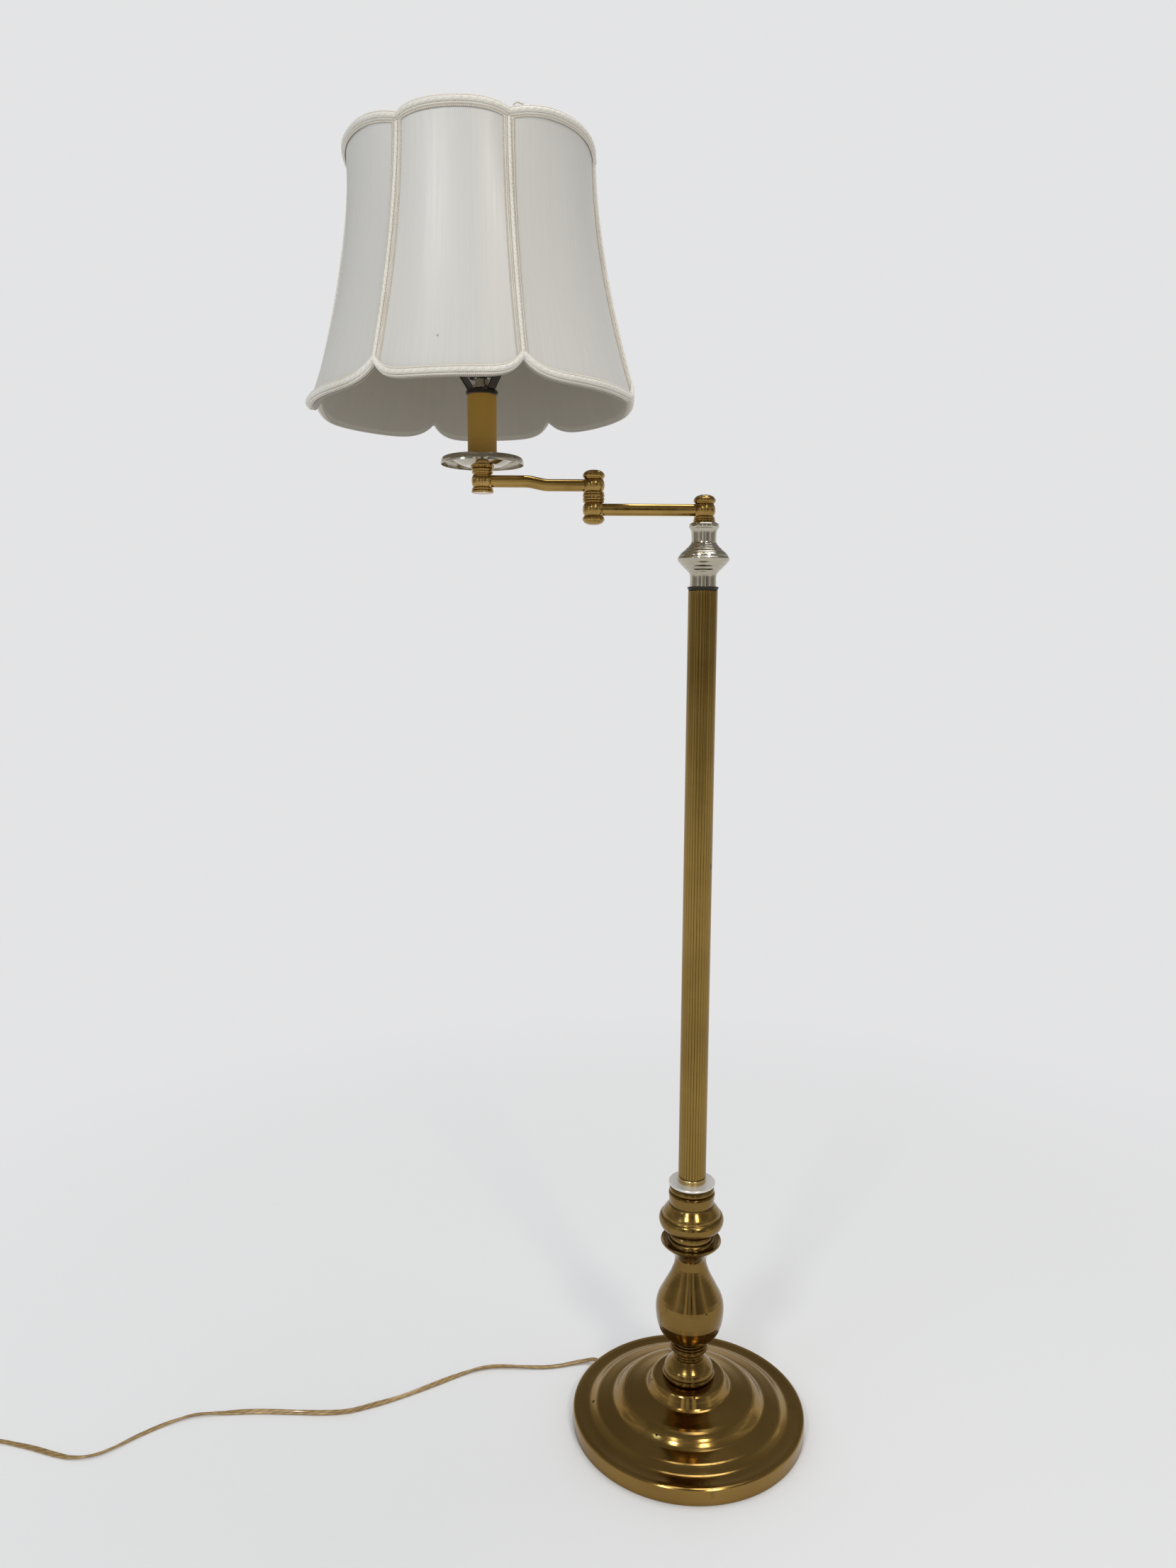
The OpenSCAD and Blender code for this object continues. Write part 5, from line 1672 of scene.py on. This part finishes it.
@dataclass
class SilkShade:
    """The six-panel scalloped bell shade, with its lining, trim and seam braids."""

    height: float = 0.220
    top_r: float = 0.1205
    bottom_r: float = 0.1605
    panel_bulge: float = 0.007
    side_bulge: float = 0.0015
    sag: float = 0.006
    drop: float = 0.0165
    rise: float = 0.005
    seam_angle: float = 65.5
    turn: float = -2.5
    tilt: float = 1.3
    flare: float = 1.65
    hub_recess: float = 0.015
    hub_thick: float = 2.3 * MM
    front_panel: int = 4
    loose_angle: float = 299.0
    silk: float = 0.8 * MM
    lining: float = 0.6 * MM
    lining_in: float = 4.6 * MM
    lining_play: float = 0.3 * MM
    lining_crease: float = 1.1 * MM
    lining_sway: float = 0.5 * MM
    top_trim: float = 0.008
    bottom_trim: float = 0.0065
    centre_x: float = field(init=False)
    top_z: float = field(init=False)
    seams: list[float] = field(init=False)

    def __post_init__(self) -> None:
        """Takes the shade's place from the finial, and lays out its seams."""
        self.centre_x = middle("finial").x
        self.top_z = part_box("finial")[0].z - self.hub_thick + self.hub_recess
        a = self.seam_angle
        self.seams = [0, a, 180 - a, 180, 180 + a, 360 - a, 360]

    # The skin

    def span(self, i: int) -> float:
        """Returns the angle that panel i spans."""
        return self.seams[i + 1] - self.seams[i]

    def is_front(self, i: int) -> bool:
        """Returns whether panel i is the front or the back one."""
        return self.span(i) < 180 - 2 * self.seam_angle + 0.1

    def panel_of(self, angle: float) -> tuple[int, float]:
        """Finds the panel at an angle.

        Args:
            angle: The angle round the shade from its first seam.

        Returns:
            The panel's number, and how near to a seam the angle is, from 0 to 1.
        """
        a = angle % 360.0
        i = next(k for k in range(6) if a <= self.seams[k + 1])
        return i, abs(2 * (a - self.seams[i]) / self.span(i) - 1)

    def skin_r(self, i: int, near: float, t: float) -> float:
        """Works out the cover's radius.

        Args:
            i: The panel's number.
            near: How near to a seam the place is, from 0 to 1.
            t: The share of the way down.

        Returns:
            The radius.
        """
        out = self.panel_bulge if self.is_front(i) else self.side_bulge
        base = lerp(self.top_r, self.bottom_r, max(t, 0.0) ** self.flare)
        return base + (out - self.sag * 4 * t * (1 - t)) * (1 - near**4)

    def edge_z(self, i: int, near: float, edge: Edge) -> float:
        """Works out the height of one edge, before the tilt.

        Args:
            i: The panel's number.
            near: How near to a seam the place is, from 0 to 1.
            edge: The edge.

        Returns:
            The height.
        """
        if edge is Edge.TOP:
            front = 180 - 2 * self.seam_angle
            lift = self.rise * (self.span(i) / front) ** 2
            return self.top_z + lift * (1 - near**2.5)
        return self.top_z - self.height - self.drop * (1 - near**6)

    def place(self, angle: float, r: float, z: float) -> Vector:
        """Finds a point of the tilted shade.

        Args:
            angle: The angle round the shade from its first seam.
            r: The radius.
            z: The height before the tilt.

        Returns:
            The point.
        """
        a = math.radians(angle + self.turn)
        lean = r * math.cos(a) * math.sin(math.radians(self.tilt))
        return Vector((self.centre_x + r * math.cos(a), r * math.sin(a), z + lean))

    def outward(self, angle: float) -> Vector:
        """Returns the level direction outwards at an angle."""
        a = math.radians(angle + self.turn)
        return Vector((math.cos(a), math.sin(a), 0.0))

    def skin(self, angle: float, t: float, out: float = 0.0) -> Vector:
        """Finds a point over the cover.

        Args:
            angle: The angle round the shade from its first seam.
            t: The share of the way from the top edge to the bottom.
            out: The distance out from the cover.

        Returns:
            The point.
        """
        i, near = self.panel_of(angle)
        z = lerp(self.edge_z(i, near, Edge.TOP), self.edge_z(i, near, Edge.BOTTOM), t)
        return self.place(angle, self.skin_r(i, near, t) + out, z)

    def from_axis(self, point: Vector) -> Vector:
        """Returns the level way out from the shade's axis to a point."""
        return point - Vector((self.centre_x, 0, point.z))

    # Cloth

    def panel(self, i: int) -> None:
        """Builds one silk panel, drawn tight between its two seams.

        Args:
            i: The panel's number round the shade.
        """
        start, span = self.seams[i], self.span(i)
        seed = 17.0 * i

        def place(u: float, v: float) -> Vector:
            """Gives the panel's surface, with its slight pulls and folds.

            Args:
                u: The share across the panel.
                v: The share of the way down.

            Returns:
                The point.
            """
            # Just inside the seams, so that both sides are taken from this panel.
            angle = start + span * min(max(u, 0.0005), 0.9995)
            pull = (abs(2 * v - 1)) ** 6 * math.sin(math.pi * u)
            fold = noise.noise(Vector((u * span * 0.55, v * 2.2, seed)))
            drift = noise.noise(Vector((u * 3.0, v * 1.4, seed + 5)))
            out = 0.6 * pull * fold + 0.9 * drift * math.sin(math.pi * u)
            return self.skin(angle, v, out * MM)

        mesh = bmesh.new()
        width = math.radians(span) * (self.top_r + self.bottom_r) / 2
        wrapped(mesh, 56, 64, place, (width, self.height), self.from_axis)
        panel = finished(f"silk_panel_{i + 1}", mesh)
        thicken(panel, self.silk)
        silk = PANEL_SILK
        if i == self.front_panel:
            spot = (0.44 * width, 0.86 * self.height)
            silk = replace(PANEL_SILK, name="stained_panel_silk", stain=spot)
        add_piece(panel, silk, Body.UPPER_ARM, "silk", *(("shade_cover",) if i == 0 else ()))

    def lining_cloth(self) -> None:
        """Builds the lining inside the wires, with its seams drawn in."""
        high, low = 0.6 * MM / self.height, 1 + 3.0 * MM / self.height

        def place(u: float, v: float) -> Vector:
            """Gives the lining's surface, drawn in at the seams.

            Args:
                u: The share round the shade.
                v: The share of the way down.

            Returns:
                The point.
            """
            angle = 360.0 * u
            _, near = self.panel_of(angle)
            pinch = max(0.0, (near - 0.86) / 0.14) ** 2
            crease = self.lining_crease * pinch * smoothstep(v * 1.6)
            turn = 6.283 * u  # radians round, close enough for the sway to meet itself
            sway = noise.noise(Vector((math.cos(turn) * 5, math.sin(turn) * 5, v * 2)))
            sway = sway * self.lining_sway * math.sin(math.pi * v)
            out = -self.lining_in - crease + sway - self.lining_play
            return self.skin(angle, lerp(high, low, v), out)

        mesh = bmesh.new()
        girth = 2 * math.pi * (self.top_r + self.bottom_r) / 2
        wrapped(mesh, 300, 40, place, (girth, self.height), self.from_axis)
        cloth = finished("lining_cloth", mesh)
        thicken(cloth, self.lining)
        add_piece(cloth, LINING, Body.UPPER_ARM, "lining", "shade_lining")

    # Trim

    def rim_track(self, edge: Edge, at: Pair, step: float) -> Track:
        """Lays a closed line round one edge of the shade.

        Args:
            edge: The edge.
            at: How far it lies outside the cover and over the edge, in millimetres.
            step: The distance from point to point.

        Returns:
            The line, with the outward direction as its side.
        """
        t = 0.0 if edge is Edge.TOP else 1.0
        out, up = at[0] * MM, Vector((0, 0, at[1] * MM))
        fine = 2400
        line = [self.skin(360.0 * k / fine, t, out) + up for k in range(fine)]
        line = respaced(line + [line[0]], step)[:-1]
        return Track(line, [self.from_axis(point).normalized() for point in line], closed=True)

    def add_trim(self, name: str, mesh: bmesh.types.BMesh, finish: Finish, *solids: str) -> None:
        """Makes a piece of trim from its bmesh and puts it on the shade.

        Args:
            name: Its name.
            mesh: Its bmesh, which is freed.
            finish: Its finish.
            *solids: The solids that it replaces.
        """
        add_piece(finished(name, mesh), finish, Body.UPPER_ARM, "trim", *solids)

    def rim_trim(self, edge: Edge) -> None:
        """Builds the gimp round one edge: tape, rope, two fine cords and picots.

        Args:
            edge: The edge.
        """
        name, gimp = edge.value, GIMPS[edge]
        line = self.rim_track(edge, (0.0, 0.0), 1.2 * MM)
        count = len(line.points)

        def place(u: float, v: float) -> Vector:
            """Gives the tape's surface.

            Args:
                u: The share round the tape's outline.
                v: The share round the rim.

            Returns:
                The point.
            """
            i = round(v * count) % count
            out, up = gimp.band[round(u * len(gimp.band)) % len(gimp.band)]
            return line.points[i] + line.sides[i] * (out * MM) + Vector((0, 0, up * MM))

        tape = bmesh.new()
        wrapped(tape, len(gimp.band), count, place, (TAPE_GIRTH, line.total))
        replaced = ("shade_trim",) if edge is Edge.TOP else ()
        self.add_trim(f"{name}_trim_tape", tape, TAPE_THREAD, *replaced)

        rope = bmesh.new()
        RIM_ROPE.lay(rope, self.rim_track(edge, gimp.rope, 0.8 * MM))
        self.add_trim(f"{name}_trim_rope", rope, ROPE_THREAD)

        cords = bmesh.new()
        for at in gimp.cords:
            RIM_CORD.lay(cords, self.rim_track(edge, at, 0.55 * MM))
        self.add_trim(f"{name}_trim_cords", cords, FINE_THREAD)

        dots = bmesh.new()
        beads(dots, self.rim_track(edge, gimp.picots, 1.75 * MM).points, PICOT_R)
        self.add_trim(f"{name}_trim_picots", dots, PICOT_THREAD)

    def loose_end(self) -> None:
        """Builds the short end of trim that stands up where the top rim's gimp is joined."""
        foot = self.skin(self.loose_angle, 0.0, 0.4 * MM)
        away = self.outward(self.loose_angle)
        along = Vector((-away.y, away.x, 0.0))
        rise = [foot + along * (a * MM) + Vector((0, 0, b * MM)) for a, b in LOOSE_RISE]
        points = catmull(rise, 6)
        mesh = bmesh.new()
        LOOSE_CORD.lay(mesh, Track(points, [away] * len(points)))
        self.add_trim("loose_trim_end", mesh, TAPE_THREAD)

    def braid_point(self, seam: int, v: float, side: float, out: float) -> Vector:
        """Finds a point of the braid over a seam, on the panel beside it.

        Args:
            seam: The seam's number.
            v: The share of the way down, from under the top trim to under the bottom trim.
            side: The distance round the shade from the seam.
            out: The distance out from the cover.

        Returns:
            The point.
        """
        angle = self.seams[seam] + math.degrees(side / self.skin_r(seam, 1.0, v))
        i, near = self.panel_of(angle)
        top, bottom = (self.edge_z(i, near, edge) for edge in Edge)
        z = lerp(top - 0.8 * self.top_trim, bottom + 0.45 * self.bottom_trim, v)
        return self.skin(angle, (top - z) / (top - bottom), out)

    def braid_track(self, seam: int, step: float, side: float, out: float) -> Track:
        """Lays a line down the braid, with its side pointing round the shade.

        Args:
            seam: The seam's number.
            step: The distance from point to point.
            side: The distance round the shade from the seam.
            out: The distance out from the cover.

        Returns:
            The line.
        """
        fine = 120
        line = [self.braid_point(seam, k / fine, side, out) for k in range(fine + 1)]
        line = respaced(line, step)
        away = self.outward(self.seams[seam])
        return Track(line, [Vector((-away.y, away.x, 0.0))] * len(line))

    def braid(self, seam: int) -> None:
        """Builds the braid over one seam: tape, a rope, fine cords and picots.

        Args:
            seam: The seam's number.
        """
        name = f"seam_braid_{seam + 1}"

        def place(u: float, v: float) -> Vector:
            """Returns the point at a share round the tape's outline and a share down it."""
            side, out = BRAID_RING[round(u * len(BRAID_RING)) % len(BRAID_RING)]
            return self.braid_point(seam, v, side * MM, out * MM)

        tape = bmesh.new()
        wrapped(tape, len(BRAID_RING), 80, place, (TAPE_GIRTH, self.height), caps=True)
        replaced = ("seam_braids",) if seam == 0 else ()
        self.add_trim(f"{name}_tape", tape, TAPE_THREAD, *replaced)

        rope = bmesh.new()
        BRAID_ROPE.lay(rope, self.braid_track(seam, 0.6 * MM, 0.0, 1.7 * MM))
        self.add_trim(f"{name}_rope", rope, ROPE_THREAD)

        cords = bmesh.new()
        for side, cord in BRAID_CORDS:
            cord.lay(cords, self.braid_track(seam, 0.7 * MM, side * MM, 1.1 * MM))
        self.add_trim(f"{name}_cords", cords, FINE_THREAD)

        dots = bmesh.new()
        for side in (-BRAID_EDGE, BRAID_EDGE):
            beads(dots, self.braid_track(seam, 1.6 * MM, side * MM, 0.5 * MM).points, PICOT_R)
        self.add_trim(f"{name}_picots", dots, PICOT_THREAD)

    def build(self) -> None:
        """Builds the shade in place of its soft solids."""
        for i in range(6):
            self.panel(i)
        self.lining_cloth()
        for edge in Edge:
            self.rim_trim(edge)
        self.loose_end()
        for seam in range(6):
            self.braid(seam)
        dress_nodes(STEEL, "shade_spider", "shade_wires")


def main() -> None:
    """Builds the lamp and its studio."""
    logging.basicConfig(level=logging.INFO, format="%(name)s: %(message)s")
    scene = bpy.context.scene
    scene.view_settings.view_transform = "Standard"
    for part in (
        Studio(), TwinCord(), Stand(), ReededColumn(), SwingArms(), CandleSocket(), SilkShade(),
    ):
        part.build()
        LOG.info("%s done", type(part).__name__)
    bpy.context.view_layer.update()


if __name__ == "__main__":
    main()
